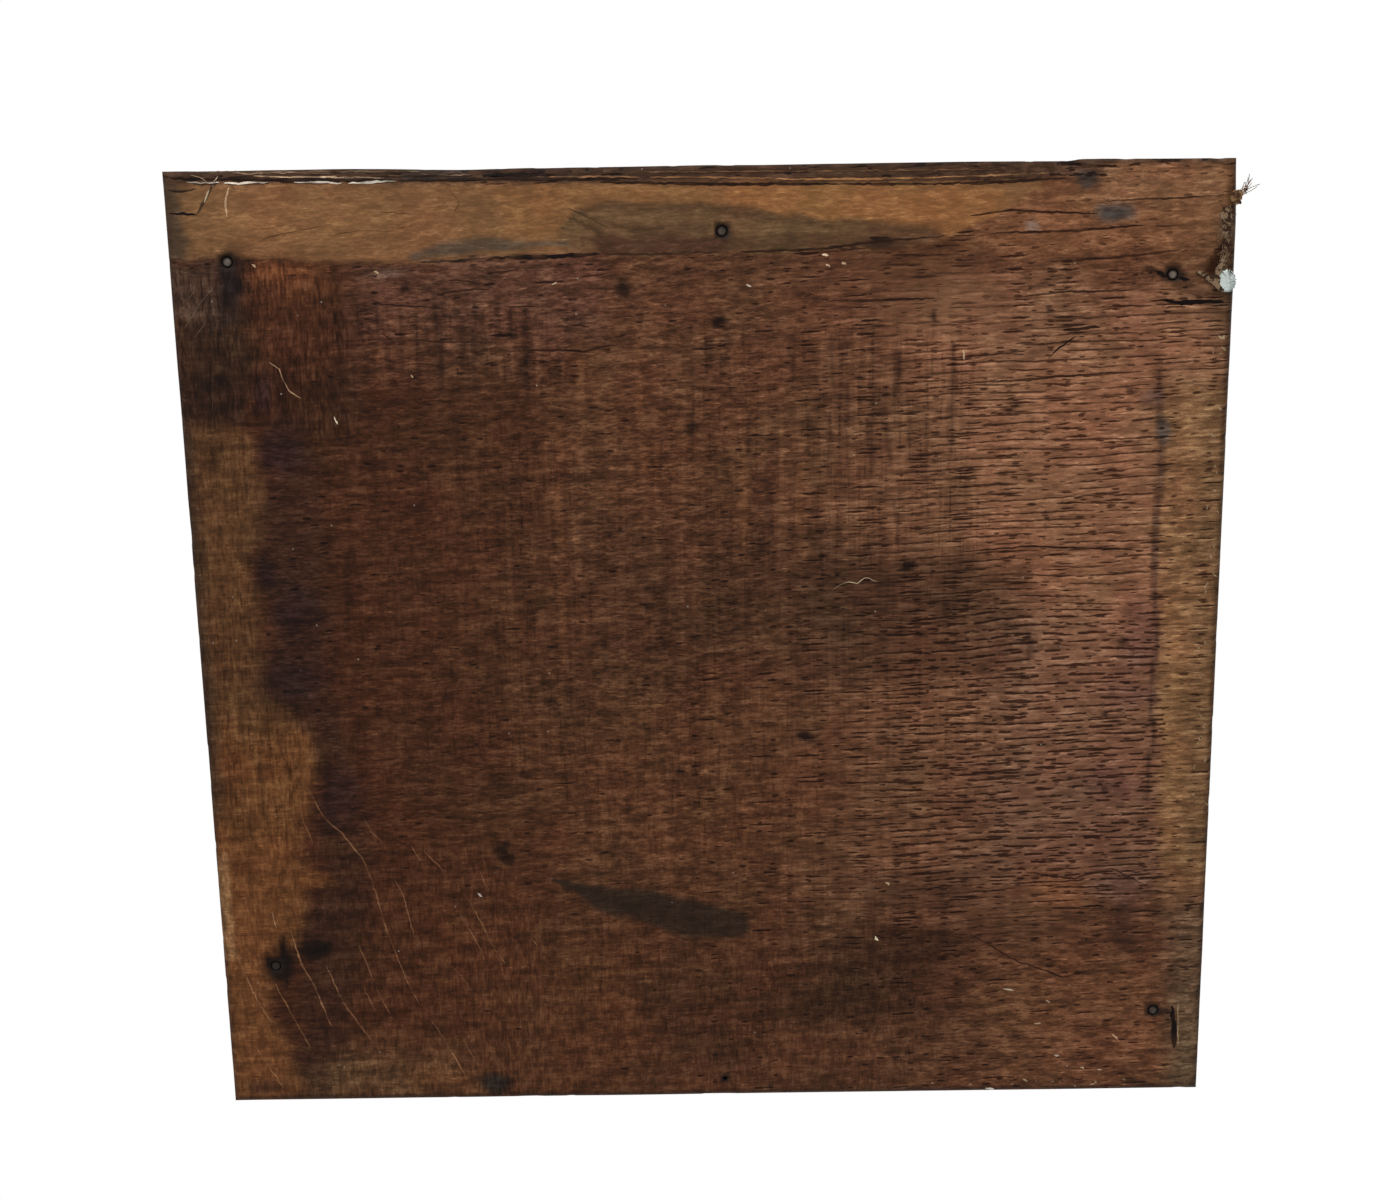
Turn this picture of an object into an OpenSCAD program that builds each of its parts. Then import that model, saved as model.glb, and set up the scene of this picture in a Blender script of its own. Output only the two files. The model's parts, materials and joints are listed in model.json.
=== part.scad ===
// Table-top writing slope in oak: a dovetailed box under a sloping hinged lid.
// The underside lies at z = 0, the front faces -Y and the width runs along X.

/* [Base] */
// width of the base board over its side edges
base_w = 380; // [360:1:400]
// depth of the base board from front edge to back edge
base_d = 353; // [340:1:370]
// thickness of the base board
base_t = 12; // [10:0.5:15]
// how far the base stands out past each side of the box
side_overhang = 13.5; // [8:0.5:15]
// how far the base stands out past the front of the box
front_overhang = 15; // [10:0.5:18]
// radius that rounds the upper front and side edges of the base
base_round = 4; // [2:0.5:6]
// width of the worn rebate along the lower front edge
quirk_w = 5.5; // [3:0.5:8]
// depth of the worn rebate
quirk_deep = 1; // [0.5:0.1:2]
// distance from the left end of the base to the start of the rebate
quirk_left = 10; // [5:1:40]
// distance from the right end of the base to the end of the rebate
quirk_right = 49; // [10:1:80]

/* [Carcass] */
// thickness of the front, back and side boards
wall_t = 15; // [14:0.5:17]
// height of the back board above the base
back_h = 128; // [122:1:136]
// slope of the lid in degrees
slope = 14; // [12:0.5:15]
// depth of the fixed flat ledge behind the lid
ledge_d = 80; // [76:1:88]
// thickness of the ledge
ledge_t = 12; // [11:0.5:14]
// how far the ledge and the lid stand out past each side of the box
ledge_overhang = 6; // [3:0.5:7]
// dovetails at each front corner
front_tails = 2; // [2:1:3]
// dovetails at each back corner
back_tails = 4; // [3:1:5]
// part of the corner height taken by the roots of the tails
tail_share = 0.55; // [0.4:0.05:0.6]
// run of the dovetail flank for each unit of splay
dovetail_run = 6; // [6:1:9]

/* [Nails] */
// radius of the nail heads under the base
nail_head_r = 1.6; // [1.2:0.1:2]
// thickness of a nail head
nail_head_h = 1; // [0.6:0.1:1.4]
// radius of a nail shank
nail_r = 1; // [0.7:0.05:1.1]
// length of a nail below its head
nail_l = 28; // [24:1:34]
// radial play of a nail in the wood
nail_fit = 0.05; // [0.03:0.01:0.1]
// width of the crushed ring round a base nail head
nail_ring = 0.5; // [0.3:0.1:0.9]
// depth of a base nail head below the wood
nail_sink = 0.5; // [0.3:0.1:1]
// left front nail from the front edge of the base
nail_left_front = 31.5; // [31.5:0.5:60]
// right front nail from the front edge of the base
nail_right_front = 41; // [31.5:0.5:60]
// left back nail from the back edge of the base
nail_left_back = 56.5; // [20:0.5:80]
// right back nail from the back edge of the base
nail_right_back = 33; // [20:0.5:80]
// inward stray of the right front nail from the middle of the side
nail_stray_front = 1.5; // [0:0.5:3]
// outward stray of the right back nail from the middle of the side
nail_stray_back = 2.5; // [0:0.5:3]
// stray of the front nail behind the middle of the front board
nail_stray_in = 1; // [0:0.5:3]
// front nail to the right of the middle
nail_front_x = 7; // [0:0.5:20]
// radius of the empty nail hole at the back edge
lost_hole_r = 0.9; // [0.6:0.1:1.2]
// empty hole to the right of the middle
lost_hole_x = 4.5; // [0:0.5:10]
// empty hole from the back edge
lost_hole_in = 7; // [4:0.5:9]

/* [Lid] */
// thickness of the lid
lid_t = 12; // [11:0.5:14]
// how far the lid stands out past the front of the box
lid_overhang = 10; // [7:0.5:10]
// gap between the closed lid and the edges of the box
lid_clear = 0.3; // [0.2:0.05:0.6]
// radius that rounds the upper edges of the lid and the ledge
lid_round = 5; // [3:0.5:6]
// gap between the lid and the ledge at the hinge line
lid_gap = 1; // [0.8:0.1:1.6]
// width of the cleat across each end of the lid
cleat_w = 34; // [28:1:40]
// thickness of the tongue on the lid panel
tongue_t = 4; // [3:0.5:5]
// length of the tongue on the lid panel
tongue_l = 8; // [5:1:12]
// width of the book rest
rest_w = 9; // [7:0.5:11]
// height of the book rest
rest_h = 8; // [6:0.5:10]
// front of the lid to the middle of the book rest
rest_in = 20; // [14:1:24]
// end of the lid to the end of the book rest
rest_end = 24; // [10:1:60]
// radius of the pins in the book rest
rest_pin_r = 0.8; // [0.6:0.1:1]
// depth of the pins in the lid panel
rest_pin_deep = 6; // [4:0.5:8]

/* [Hinges] */
// length of a hinge along its pin
hinge_l = 44; // [38:1:50]
// end of the lid panel to the middle of a hinge
hinge_in = 43.5; // [35:0.5:58]
// width of a hinge leaf from the pin
leaf_w = 20; // [18:1:24]
// thickness of a hinge leaf
leaf_t = 1.6; // [1.5:0.1:2]
// radius of a hinge knuckle
knuckle_r = 2.6; // [2.4:0.1:3]
// gap round a knuckle
knuckle_clear = 0.5; // [0.4:0.05:0.8]
// gap between neighbouring knuckles
knuckle_gap = 0.3; // [0.2:0.05:0.5]
// radius of a hinge pin
pin_r = 1.2; // [1:0.05:1.4]
// radial play of a pin in its knuckles
pin_fit = 0.05; // [0.03:0.01:0.08]
// radius of a hinge screw head
screw_head_r = 2.9; // [2.4:0.1:3]
// radius of a hinge screw shank
screw_r = 1.4; // [1.1:0.1:1.5]
// height of a countersunk hinge screw head
screw_head_h = 1.4; // [1.1:0.1:1.4]
// length of a hinge screw
screw_l = 8; // [6:0.5:9]
// play round every screw
screw_fit = 0.05; // [0.03:0.01:0.1]
// spacing of the three screws of a leaf
screw_pitch = 14; // [11:0.5:15]
// screw row to the hinge pin
screw_row = 12; // [10:0.5:14]

/* [Lock] */
// width of the lock case
lock_w = 56; // [54:1:64]
// height of the lock case
lock_h = 34; // [32:1:38]
// depth of the lock in the front board
lock_d = 12; // [11.8:0.1:12.5]
// thickness of the lock plates
plate_t = 1.5; // [1.2:0.1:1.6]
// drop of the lock top below the bevelled front edge
lock_sink = 0.5; // [0.3:0.1:1]
// width of each screw wing of the lock cap
wing_w = 7; // [6:0.5:9]
// radius of a small screw head
small_head_r = 2.2; // [1.8:0.1:2.4]
// radius of a small screw shank
small_screw_r = 1.1; // [0.9:0.1:1.2]
// height of a small screw head
small_head_h = 1.1; // [0.9:0.1:1.2]
// length of a small screw
small_screw_l = 7; // [5:0.5:8]
// height of the lock cap screws from the top and bottom of the cap
cap_screw_in = 6; // [4:0.5:9]
// thickness of the staple along the lock
staple_t = 3; // [2.5:0.1:4]
// width of the staple
staple_w = 5; // [4.6:0.1:5]
// length of the staple below the lid
staple_l = 11; // [10:0.5:11]
// gap between the tip of the staple and the lock cap
staple_gap = 0.6; // [0.5:0.05:0.7]
// thickness of the plate that holds the staple
staple_plate_t = 1.6; // [1.4:0.1:2]
// length of the staple plate
staple_plate_l = 30; // [28:1:36]
// margin of the staple plate round the staple
staple_margin = 2.5; // [2:0.1:3]
// radius of the eye through the staple
eye_r = 1.7; // [1.6:0.05:1.8]
// tip of the staple to the middle of its eye
eye_up = 4; // [3.5:0.1:4.5]
// radius of the nose of the bolt
nose_r = 1.3; // [1:0.05:1.3]
// travel of the bolt
bolt_travel = 7; // [6:0.5:7]
// gap between the bolt and the staple
bolt_gap = 1; // [0.8:0.1:1.2]
// length of the bar of the bolt
bolt_bar_l = 15; // [13:0.5:15]
// width of the bar of the bolt
bolt_bar_w = 5; // [4:0.1:5]
// height of the bar below its nose line
bolt_bar_down = 5; // [4:0.5:6]
// height of the bar above its nose line
bolt_bar_up = 2; // [1.8:0.1:2.2]
// running gap of the bolt in its guide
guide_gap = 0.1; // [0.1:0.05:0.2]
// thickness of the bolt guide
guide_t = 5; // [4:0.5:6]
// end of the lock case to the bolt guide
guide_in = 9; // [8:0.5:10]
// radius of the round of the keyhole
keyhole_r = 2.4; // [1.8:0.1:2.6]
// width of the slot of the keyhole
keyhole_w = 2.4; // [1.6:0.1:2.8]
// length of the slot of the keyhole below its round
keyhole_l = 7; // [5:0.5:8]
// top of the lock to the keyhole
keyhole_down = 20; // [18:0.5:21]
// radius of the ends of the keyhole plate
escutcheon_r = 7.5; // [6:0.5:9]
// half the straight length of the keyhole plate
escutcheon_half = 6; // [5:0.5:8]
// thickness of the keyhole plate
escutcheon_t = 1.2; // [0.8:0.1:1.5]
// radius of the pins of the keyhole plate
escutcheon_pin_r = 0.7; // [0.5:0.1:0.9]
// depth of those pins in the front board
escutcheon_pin_l = 2; // [1.5:0.1:2.2]

/* [Nest] */
// depth of the nest of drawers and pigeonholes
nest_d = 64; // [60:1:64]
// clear height of a drawer opening
drawer_room_h = 44; // [38:1:48]
// thickness of the shelf and the dividers
thin_t = 6; // [5:0.5:7]
// depth of the housings that hold the shelf ends
housing = 4; // [3:0.5:5]
// radius of the hollow in the front of a pigeonhole divider
hollow_r = 26; // [20:1:32]
// side gap of a drawer
drawer_gap = 0.4; // [0.3:0.1:0.8]
// top gap of a drawer
drawer_top_gap = 0.6; // [0.4:0.1:1]
// gap behind a drawer
drawer_back_gap = 0.5; // [0.3:0.1:1]
// thickness of a drawer front
drawer_front_t = 9; // [8:0.5:11]
// thickness of the sides and the back of a drawer
drawer_side_t = 5; // [5:0.5:6]
// thickness of a drawer bottom
drawer_bottom_t = 3.5; // [3:0.5:4]
// height of a drawer bottom above the lower edge of the sides
drawer_bottom_up = 2; // [1.5:0.5:3]
// depth of the grooves that hold a drawer bottom
groove = 2.5; // [2:0.5:3]
// radius of the ball of a drawer knob
knob_r = 5.5; // [4.5:0.5:6]
// radius of the foot of a drawer knob
knob_foot_r = 5; // [4:0.5:6]
// thickness of the foot of a drawer knob
knob_foot_h = 1.5; // [1:0.1:2]
// radius of the neck of a drawer knob
knob_neck_r = 2.4; // [2:0.1:3]
// drawer front to the middle of the ball
knob_out = 8; // [7:0.5:8]
// radius of the spigot of a drawer knob
spigot_r = 2; // [1.5:0.1:2.2]
// radial play of the spigot
spigot_fit = 0.05; // [0.03:0.01:0.1]
// travel of a drawer
drawer_travel = 45; // [30:1:45]

/* [Pen and ink] */
// height of the pen tray and of the ink pockets
tray_h = 18; // [15:0.5:18]
// width of the pen tray
tray_w = 36; // [34:1:40]
// radius of the hollow of the pen tray
scoop_r = 17; // [16:0.5:17]
// middle of the hollow above the top of the tray
scoop_up = 7; // [7:0.5:9]
// solid ends of the pen tray
tray_end = 6; // [4:0.5:10]
// gap from the drawn-out drawer knobs to the tray
tray_clear = 4; // [2:0.5:8]
// thickness of the ink partition and dividers
partition_t = 5; // [4:0.5:6]
// side of the square inkwell
ink_w = 40; // [38:0.5:42]
// gap round the inkwell in its pocket
ink_gap = 1; // [0.6:0.1:1.5]
// corner radius of the inkwell
ink_corner = 4; // [2:0.5:6]
// height of the square part of the inkwell
ink_h = 32; // [28:1:33]
// radius of the neck of the inkwell
neck_r = 13; // [12.5:0.1:13.5]
// height of the neck
neck_h = 6; // [5.5:0.1:7]
// radius of the ink cavity
cavity_r = 10; // [8:0.5:10.5]
// thickness of the glass under the cavity
cavity_floor = 6; // [4:0.5:8]
// radial play of the collar on the neck
collar_fit = 0.05; // [0.03:0.01:0.1]
// wall of the brass collar
collar_t = 2.4; // [2:0.1:2.8]
// rise of the collar above the neck
collar_rise = 0.5; // [0.3:0.1:1]
// gap between the collar and the cap
cap_gap = 0.3; // [0.3:0.05:0.5]
// thickness of the plate of the cap
cap_t = 1.5; // [1.2:0.1:2]
// height of the dome of the cap
dome_h = 4.5; // [3:0.5:5]
// radius of the dome of the cap
dome_r = 13; // [11:0.5:14]
// radius of the bead on the cap
bead_r = 2; // [1.5:0.1:2.2]
// radius of the cap knuckles
cap_knuckle_r = 2.2; // [2:0.1:2.4]
// radius of the cap pin
cap_pin_r = 0.8; // [0.7:0.05:1]
// gap from the edge of the cap to its knuckles
cap_hinge_gap = 0.8; // [0.7:0.1:1.2]
// width of the middle knuckle of the cap
cap_knuckle_w = 6; // [5:0.5:8]
// width of each collar lug
lug_w = 2.5; // [2:0.5:3]
// radius of the foot of the turned pounce pot
pot_r = 17; // [15:0.5:18]
// height of the pounce pot
pot_h = 38; // [32:1:40]
// radius of the waist of the pounce pot
pot_waist_r = 13; // [12.5:0.5:14]
// radius of the hollow of the pounce pot
pot_hollow_r = 10; // [8:0.5:10.5]
// height of the foot and of the rim of the pounce pot
pot_band = 7; // [5:0.5:9]

/* [Hidden] */
// parts that can be shown one at a time
// part to show, or all of them
// facets of a full circle
$fn = 48;
// overshoot of a cutting shape past the face that it cuts
over = 1;
// overlap that joins two shapes of one solid
fuse = 0.5;
// far reach of a trimming block
far = 600;
// outer and inner faces of the box sides
x_out = base_w / 2 - side_overhang;
x_in = x_out - wall_t;
x_mid = x_out - wall_t / 2;
// front and back edges of the base
y_front = -base_d / 2;
y_back = base_d / 2;
// outer and inner faces of the front and back boards
y_fo = y_front + front_overhang;
y_fi = y_fo + wall_t;
y_bi = y_back - wall_t;
// hinge line and the levels of the ledge
y_h = y_back - ledge_d;
z_top = base_t + back_h;
z_h = z_top + ledge_t;
y_l = y_h + lid_gap / 2;
// half width of the lid and length along its slope
lid_hw = x_out + ledge_overhang;
lid_l = (y_h - y_fo + lid_overhang) / cos(slope);
panel_hw = lid_hw - cleat_w;
lid_back = lid_gap / 2 / cos(slope);
rest_u = rest_in - lid_l;
rest_hl = lid_hw - rest_end;
// height of the upper edges of the box under the closed lid
function rail(y) = z_h - (y_h - y) * tan(slope) - lid_t / cos(slope) - lid_clear;
// places of the nails under the base
nail_spots = [[-x_mid, y_front + nail_left_front],
  [nail_front_x, y_fo + wall_t / 2 + nail_stray_in],
  [x_mid - nail_stray_front, y_front + nail_right_front], [-x_mid, y_back - nail_left_back],
  [x_mid + nail_stray_back, y_back - nail_right_back]];
// places of the nails in the ledge
ledge_nail_in = ledge_d / 3;
ledge_spots = [[-x_mid, y_back - ledge_nail_in], [x_mid, y_back - ledge_nail_in],
  [-x_mid, y_l + ledge_nail_in], [x_mid, y_l + ledge_nail_in],
  [-x_in / 3, y_back - wall_t / 2], [x_in / 3, y_back - wall_t / 2]];
// knuckles of a hinge
hinge_x = panel_hw - hinge_in;
knuckle_n = 5;
knuckle_l = (hinge_l - (knuckle_n - 1) * knuckle_gap) / knuckle_n;
knuckle_room = knuckle_r + knuckle_clear;
ledge_knuckles = [0, 2, 4];
lid_knuckles = [1, 3];
// lock levels and faces
lock_hw = lock_w / 2;
y_lf = y_fi - lock_d;
z_lt = rail(y_lf) - lock_sink;
z_lb = z_lt - lock_h;
y_cap = y_fi - plate_t;
z_key = z_lt - keyhole_down;
// inner edge of the staple along the lid and the middle of its eye
staple_tip = lid_t + staple_l;
staple_u = (y_cap - staple_gap - y_h - staple_tip * sin(slope)) / cos(slope);
eye_u = staple_u - staple_w / 2;
eye_w = eye_up - staple_tip;
y_eye = y_h + eye_u * cos(slope) - eye_w * sin(slope);
z_eye = z_h + eye_u * sin(slope) + eye_w * cos(slope);
nose_tip = -staple_t / 2 - bolt_gap;
bar_end = nose_tip - bolt_travel;
guide_x = guide_in - lock_hw;
slot_hw = staple_t / 2 + bolt_gap * 3;
// nest faces and compartments
y_nf = y_bi - nest_d;
z_shelf = base_t + drawer_room_h;
z_pigeon = z_shelf + thin_t;
drawer_room = x_in - thin_t / 2;
drawer_w = drawer_room - 2 * drawer_gap;
drawer_x = (x_in + thin_t / 2) / 2;
drawer_h = drawer_room_h - drawer_top_gap;
drawer_end = y_bi - drawer_back_gap;
pigeon_pitch = (2 * x_in + thin_t) / 4;
knob_z = base_t + drawer_h / 2;
// pen tray and ink pockets along the right side
pocket = ink_w + 2 * ink_gap;
y_tray = y_nf - drawer_travel - knob_out - knob_r - tray_clear;
x_lane = x_in - pocket;
x_part = x_lane - partition_t;
x_tray = x_part - tray_w;
ink_x = x_in - pocket / 2;
ink_y = y_tray - partition_t - pocket / 2;
pot_y = ink_y - pocket - partition_t;
y_ink_front = pot_y - pocket / 2 - partition_t;
// levels of the inkwell
z_neck = base_t + ink_h;
z_mouth = z_neck + neck_h;
z_collar = z_mouth + collar_rise;
collar_in = neck_r + collar_fit;
collar_out = collar_in + collar_t;
z_cap = z_collar + cap_gap;
z_dome = z_cap + cap_t;
dome_ball = (dome_r * dome_r + dome_h * dome_h) / (2 * dome_h);
cap_pin_y = collar_out + cap_hinge_gap + cap_knuckle_r;
cap_pin_z = z_cap + cap_t / 2;
lug_x = cap_knuckle_w / 2 + knuckle_gap;

// extrusion of a Y-Z outline along X
module along_x(x0, x1) {
  translate([x0, 0, 0]) rotate([90, 0, 90]) linear_extrude(x1 - x0) children();
}

// extrusion of an X-Z outline along Y
module along_y(y0, y1) {
  translate([0, y1, 0]) rotate([90, 0, 0]) linear_extrude(y1 - y0) children();
}

// block between two corners
module block(a, b) {
  translate(a) cube(b - a);
}

// pair of shapes on both sides of the middle plane
module both_sides() {
  children();
  mirror([1, 0, 0]) children();
}

// waste outside a rounded corner whose centre is the origin
module corner_waste(r) {
  difference() {
    square(r + over);
    circle(r);
  }
}

// rod along X
module rod_x(x0, x1, r) {
  translate([x0, 0, 0]) rotate([0, 90, 0]) cylinder(h = x1 - x0, r = r);
}

// countersunk slotted screw with its head flush at z = 0
module screw(r, head_r, head_h, l) {
  tip = r * 2;
  difference() {
    union() {
      translate([0, 0, -head_h]) cylinder(h = head_h, r1 = r, r2 = head_r);
      translate([0, 0, tip - l]) cylinder(h = l - tip - head_h + fuse / 2, r = r);
      translate([0, 0, -l]) cylinder(h = tip, r1 = r / 4, r2 = r);
    }
    block([-head_r - over, -r / 4, -head_h / 2], [head_r + over, r / 4, over]);
  }
}

// hole for a countersunk screw
module screw_hole(r, head_r, head_h, l) {
  translate([0, 0, -head_h]) cylinder(h = head_h, r1 = r + screw_fit, r2 = head_r + screw_fit);
  cylinder(h = over, r = head_r + screw_fit);
  translate([0, 0, -l - screw_fit]) cylinder(h = l - head_h + fuse / 2, r = r + screw_fit);
}

// nail driven along +Z with its head at z = 0
module nail() {
  tip = nail_r * 3;
  cylinder(h = nail_head_h, r = nail_head_r);
  translate([0, 0, nail_head_h / 2]) cylinder(h = nail_l - tip, r = nail_r);
  translate([0, 0, nail_head_h / 2 + nail_l - tip]) cylinder(h = tip, r1 = nail_r, r2 = nail_r / 4);
}

// hole for a nail, with room round its head
module nail_hole(ring, sink) {
  translate([0, 0, -sink - over]) cylinder(h = sink + over + nail_head_h, r = nail_head_r + ring);
  cylinder(h = nail_l + over, r = nail_r + nail_fit);
}

// nail holes of the base, run on into the box
module base_nail_holes() {
  for (s = nail_spots) translate([s[0], s[1], nail_sink]) nail_hole(nail_ring, nail_sink);
}

// nail holes of the ledge, run on into the box
module ledge_nail_holes() {
  for (s = ledge_spots) translate([s[0], s[1], z_h]) rotate([180, 0, 0]) nail_hole(nail_fit, 0);
}

// splayed tails of one corner, reaching past the root and the tip
module tails(n, z0, z1, y_root, y_tip, x0, x1, past_root, past_tip) {
  way = sign(y_tip - y_root);
  pitch = (z1 - z0) / n;
  root = pitch * tail_share / 2;
  root_h = root - past_root / dovetail_run;
  tip_h = root + (abs(y_tip - y_root) + past_tip) / dovetail_run;
  y_a = y_root - way * past_root;
  y_b = y_tip + way * past_tip;
  for (i = [0:n - 1])
    translate([0, 0, z0 + (i + 1 / 2) * pitch])
      along_x(x0, x1) polygon([[y_a, -root_h], [y_b, -tip_h], [y_b, tip_h], [y_a, root_h]]);
}

module front_tail_set(x0, x1, past_root, past_tip) {
  tails(front_tails, base_t, rail(y_fo), y_fi, y_fo, x0, x1, past_root, past_tip);
}

module back_tail_set(x0, x1, past_root, past_tip) {
  tails(back_tails, base_t, z_top, y_bi, y_back, x0, x1, past_root, past_tip);
}

// keyhole outline round its centre
module keyhole_outline() {
  circle(keyhole_r);
  translate([-keyhole_w / 2, -keyhole_l]) square([keyhole_w, keyhole_l]);
}

module base_yz() {
  difference() {
    translate([y_front, 0]) square([base_d, base_t]);
    translate([y_front + base_round, base_t - base_round]) mirror([1, 0]) corner_waste(base_round);
  }
}

module base_xz() {
  difference() {
    translate([-base_w / 2, 0]) square([base_w, base_t]);
    translate([base_w / 2 - base_round, base_t - base_round]) corner_waste(base_round);
    translate([base_round - base_w / 2, base_t - base_round]) mirror([1, 0]) corner_waste(base_round);
  }
}

module base_board() {
  color("saddlebrown") difference() {
    intersection() {
      along_x(-base_w / 2 - over, base_w / 2 + over) base_yz();
      along_y(y_front - over, y_back + over) base_xz();
    }
    base_nail_holes();
    translate([lost_hole_x, y_back - lost_hole_in, -over]) cylinder(h = base_t + 2 * over, r = lost_hole_r);
    block([quirk_left - base_w / 2, y_front - over, -over],
      [base_w / 2 - quirk_right, y_front + quirk_w, quirk_deep]);
  }
}

module base_nails() {
  color("dimgray") for (s = nail_spots) translate([s[0], s[1], nail_sink]) nail();
}

module front_yz() {
  polygon([[y_fo, base_t], [y_fi, base_t], [y_fi, rail(y_fi)], [y_fo, rail(y_fo)]]);
}

module front_board() {
  wing = lock_hw + wing_w;
  color("sienna") difference() {
    along_x(-x_out, x_out) front_yz();
    both_sides() front_tail_set(x_in, x_out + over, over, over);
    base_nail_holes();
    block([-lock_hw, y_lf, z_lb], [lock_hw, y_fi + over, z_h]);
    block([-wing, y_cap, z_lb], [wing, y_fi + over, z_lt]);
    translate([0, 0, z_key]) along_y(y_fo - over, y_fi) keyhole_outline();
    lock_screw_places() screw_hole(small_screw_r, small_head_r, small_head_h, small_screw_l);
    escutcheon_pin_places() cylinder(h = escutcheon_pin_l, r = escutcheon_pin_r + nail_fit);
  }
}

module back_board() {
  color("sienna") difference() {
    block([-x_out, y_bi, base_t], [x_out, y_back, z_top]);
    both_sides() back_tail_set(x_in, x_out + over, over, over);
    ledge_nail_holes();
  }
}

module side_yz() {
  polygon([[y_fi, base_t], [y_bi, base_t], [y_bi, z_top], [y_l, z_top], [y_l, rail(y_l)],
    [y_fi, rail(y_fi)]]);
}

module side_blank() {
  difference() {
    union() {
      along_x(x_in, x_out) side_yz();
      front_tail_set(x_in, x_out, fuse, 0);
      back_tail_set(x_in, x_out, fuse, 0);
    }
    block([x_in - over, y_nf, z_shelf], [x_in + housing, y_bi + over, z_pigeon]);
  }
}

module left_side() {
  color("peru") difference() {
    mirror([1, 0, 0]) side_blank();
    base_nail_holes();
    ledge_nail_holes();
  }
}

module right_side() {
  color("peru") difference() {
    side_blank();
    base_nail_holes();
    ledge_nail_holes();
  }
}

// outline across the ledge or the lid, with rounded upper corners
module top_xz(t) {
  difference() {
    translate([-lid_hw, -t]) square([2 * lid_hw, t]);
    translate([lid_hw - lid_round, -lid_round]) corner_waste(lid_round);
    translate([lid_round - lid_hw, -lid_round]) mirror([1, 0]) corner_waste(lid_round);
  }
}

module top_ledge() {
  color("sienna") difference() {
    translate([0, 0, z_h]) along_y(y_l, y_back) top_xz(ledge_t);
    ledge_place() hinge_pockets();
    ledge_nail_holes();
  }
}

module ledge_nails() {
  color("dimgray") for (s = ledge_spots) translate([s[0], s[1], z_h]) rotate([180, 0, 0]) nail();
}

// hinge frames: the pin is the X axis and the leaf runs along +Y
module ledge_place() {
  translate([0, y_h, z_h]) children();
}

module lid_place() {
  translate([0, y_h, z_h]) rotate([slope, 0, 0]) children();
}

module leaf_screw_places() {
  for (i = [-1:1]) translate([i * screw_pitch, screw_row + abs(i) * screw_r, 0]) children();
}

// room for both leaves and their screws in the wood
module hinge_pockets() {
  for (s = [-1, 1]) translate([s * hinge_x, 0, 0]) {
    block([-hinge_l / 2 - nail_fit, 0, -leaf_t], [hinge_l / 2 + nail_fit, leaf_w, over]);
    rod_x(-hinge_l / 2 - knuckle_clear, hinge_l / 2 + knuckle_clear, knuckle_room);
    leaf_screw_places() screw_hole(screw_r, screw_head_r, screw_head_h, screw_l);
  }
}

module hinge_leaf(own) {
  difference() {
    union() {
      block([-hinge_l / 2, knuckle_room, -leaf_t], [hinge_l / 2, leaf_w, 0]);
      for (k = own) translate([k * (knuckle_l + knuckle_gap) - hinge_l / 2, 0, 0]) {
        rod_x(0, knuckle_l, knuckle_r);
        block([0, 0, -leaf_t], [knuckle_l, knuckle_room + fuse, 0]);
      }
    }
    rod_x(-hinge_l / 2 - over, hinge_l / 2 + over, pin_r + pin_fit);
    leaf_screw_places() screw_hole(screw_r, screw_head_r, screw_head_h, screw_l);
  }
}

module left_hinge_ledge_leaf() {
  color("goldenrod") ledge_place() translate([-hinge_x, 0, 0]) hinge_leaf(ledge_knuckles);
}

module right_hinge_ledge_leaf() {
  color("goldenrod") ledge_place() translate([hinge_x, 0, 0]) hinge_leaf(ledge_knuckles);
}

module hinge_pins() {
  color("gray") ledge_place() both_sides() rod_x(hinge_x - hinge_l / 2, hinge_x + hinge_l / 2, pin_r);
}

module hinge_screws() {
  both_sides() translate([hinge_x, 0, 0]) leaf_screw_places()
    screw(screw_r, screw_head_r, screw_head_h, screw_l);
}

module ledge_hinge_screws() {
  color("darkgoldenrod") ledge_place() hinge_screws();
}

// bar of the bolt with a gap all round
module bolt_bar(x0, x1, gap) {
  block([x0, y_eye - bolt_bar_w / 2 - gap, z_eye - bolt_bar_down - gap],
    [x1, y_eye + bolt_bar_w / 2 + gap, z_eye + bolt_bar_up + gap]);
}

module lock_case() {
  z_guide = z_eye - bolt_bar_down - guide_gap - plate_t;
  color("darkgoldenrod") difference() {
    union() {
      difference() {
        block([-lock_hw, y_lf, z_lb], [lock_hw, y_cap, z_lt]);
        block([plate_t - lock_hw, y_lf + plate_t, z_lb + plate_t],
          [lock_hw - plate_t, y_fi, z_lt - plate_t]);
      }
      block([guide_x, y_lf + plate_t - fuse, z_guide], [guide_x + guide_t, y_cap, z_lt - plate_t + fuse]);
    }
    bolt_bar(guide_x - over, guide_x + guide_t + over, guide_gap);
    block([-slot_hw, y_lf + plate_t, z_lt - plate_t - over], [slot_hw, y_fi, z_lt + over]);
    translate([0, 0, z_key]) along_y(y_lf - over, y_lf + plate_t + over) keyhole_outline();
  }
}

module lock_screw_places() {
  for (x = [-1, 1], z = [z_lb + cap_screw_in, z_lt - cap_screw_in])
    translate([x * (lock_hw + wing_w / 2), y_fi, z]) rotate([-90, 0, 0]) children();
}

module lock_cap() {
  wing = lock_hw + wing_w;
  color("goldenrod") difference() {
    block([-wing, y_cap, z_lb], [wing, y_fi, z_lt]);
    lock_screw_places() screw_hole(small_screw_r, small_head_r, small_head_h, small_screw_l);
  }
}

module lock_screws() {
  color("darkgoldenrod") lock_screw_places()
    screw(small_screw_r, small_head_r, small_head_h, small_screw_l);
}

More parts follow.
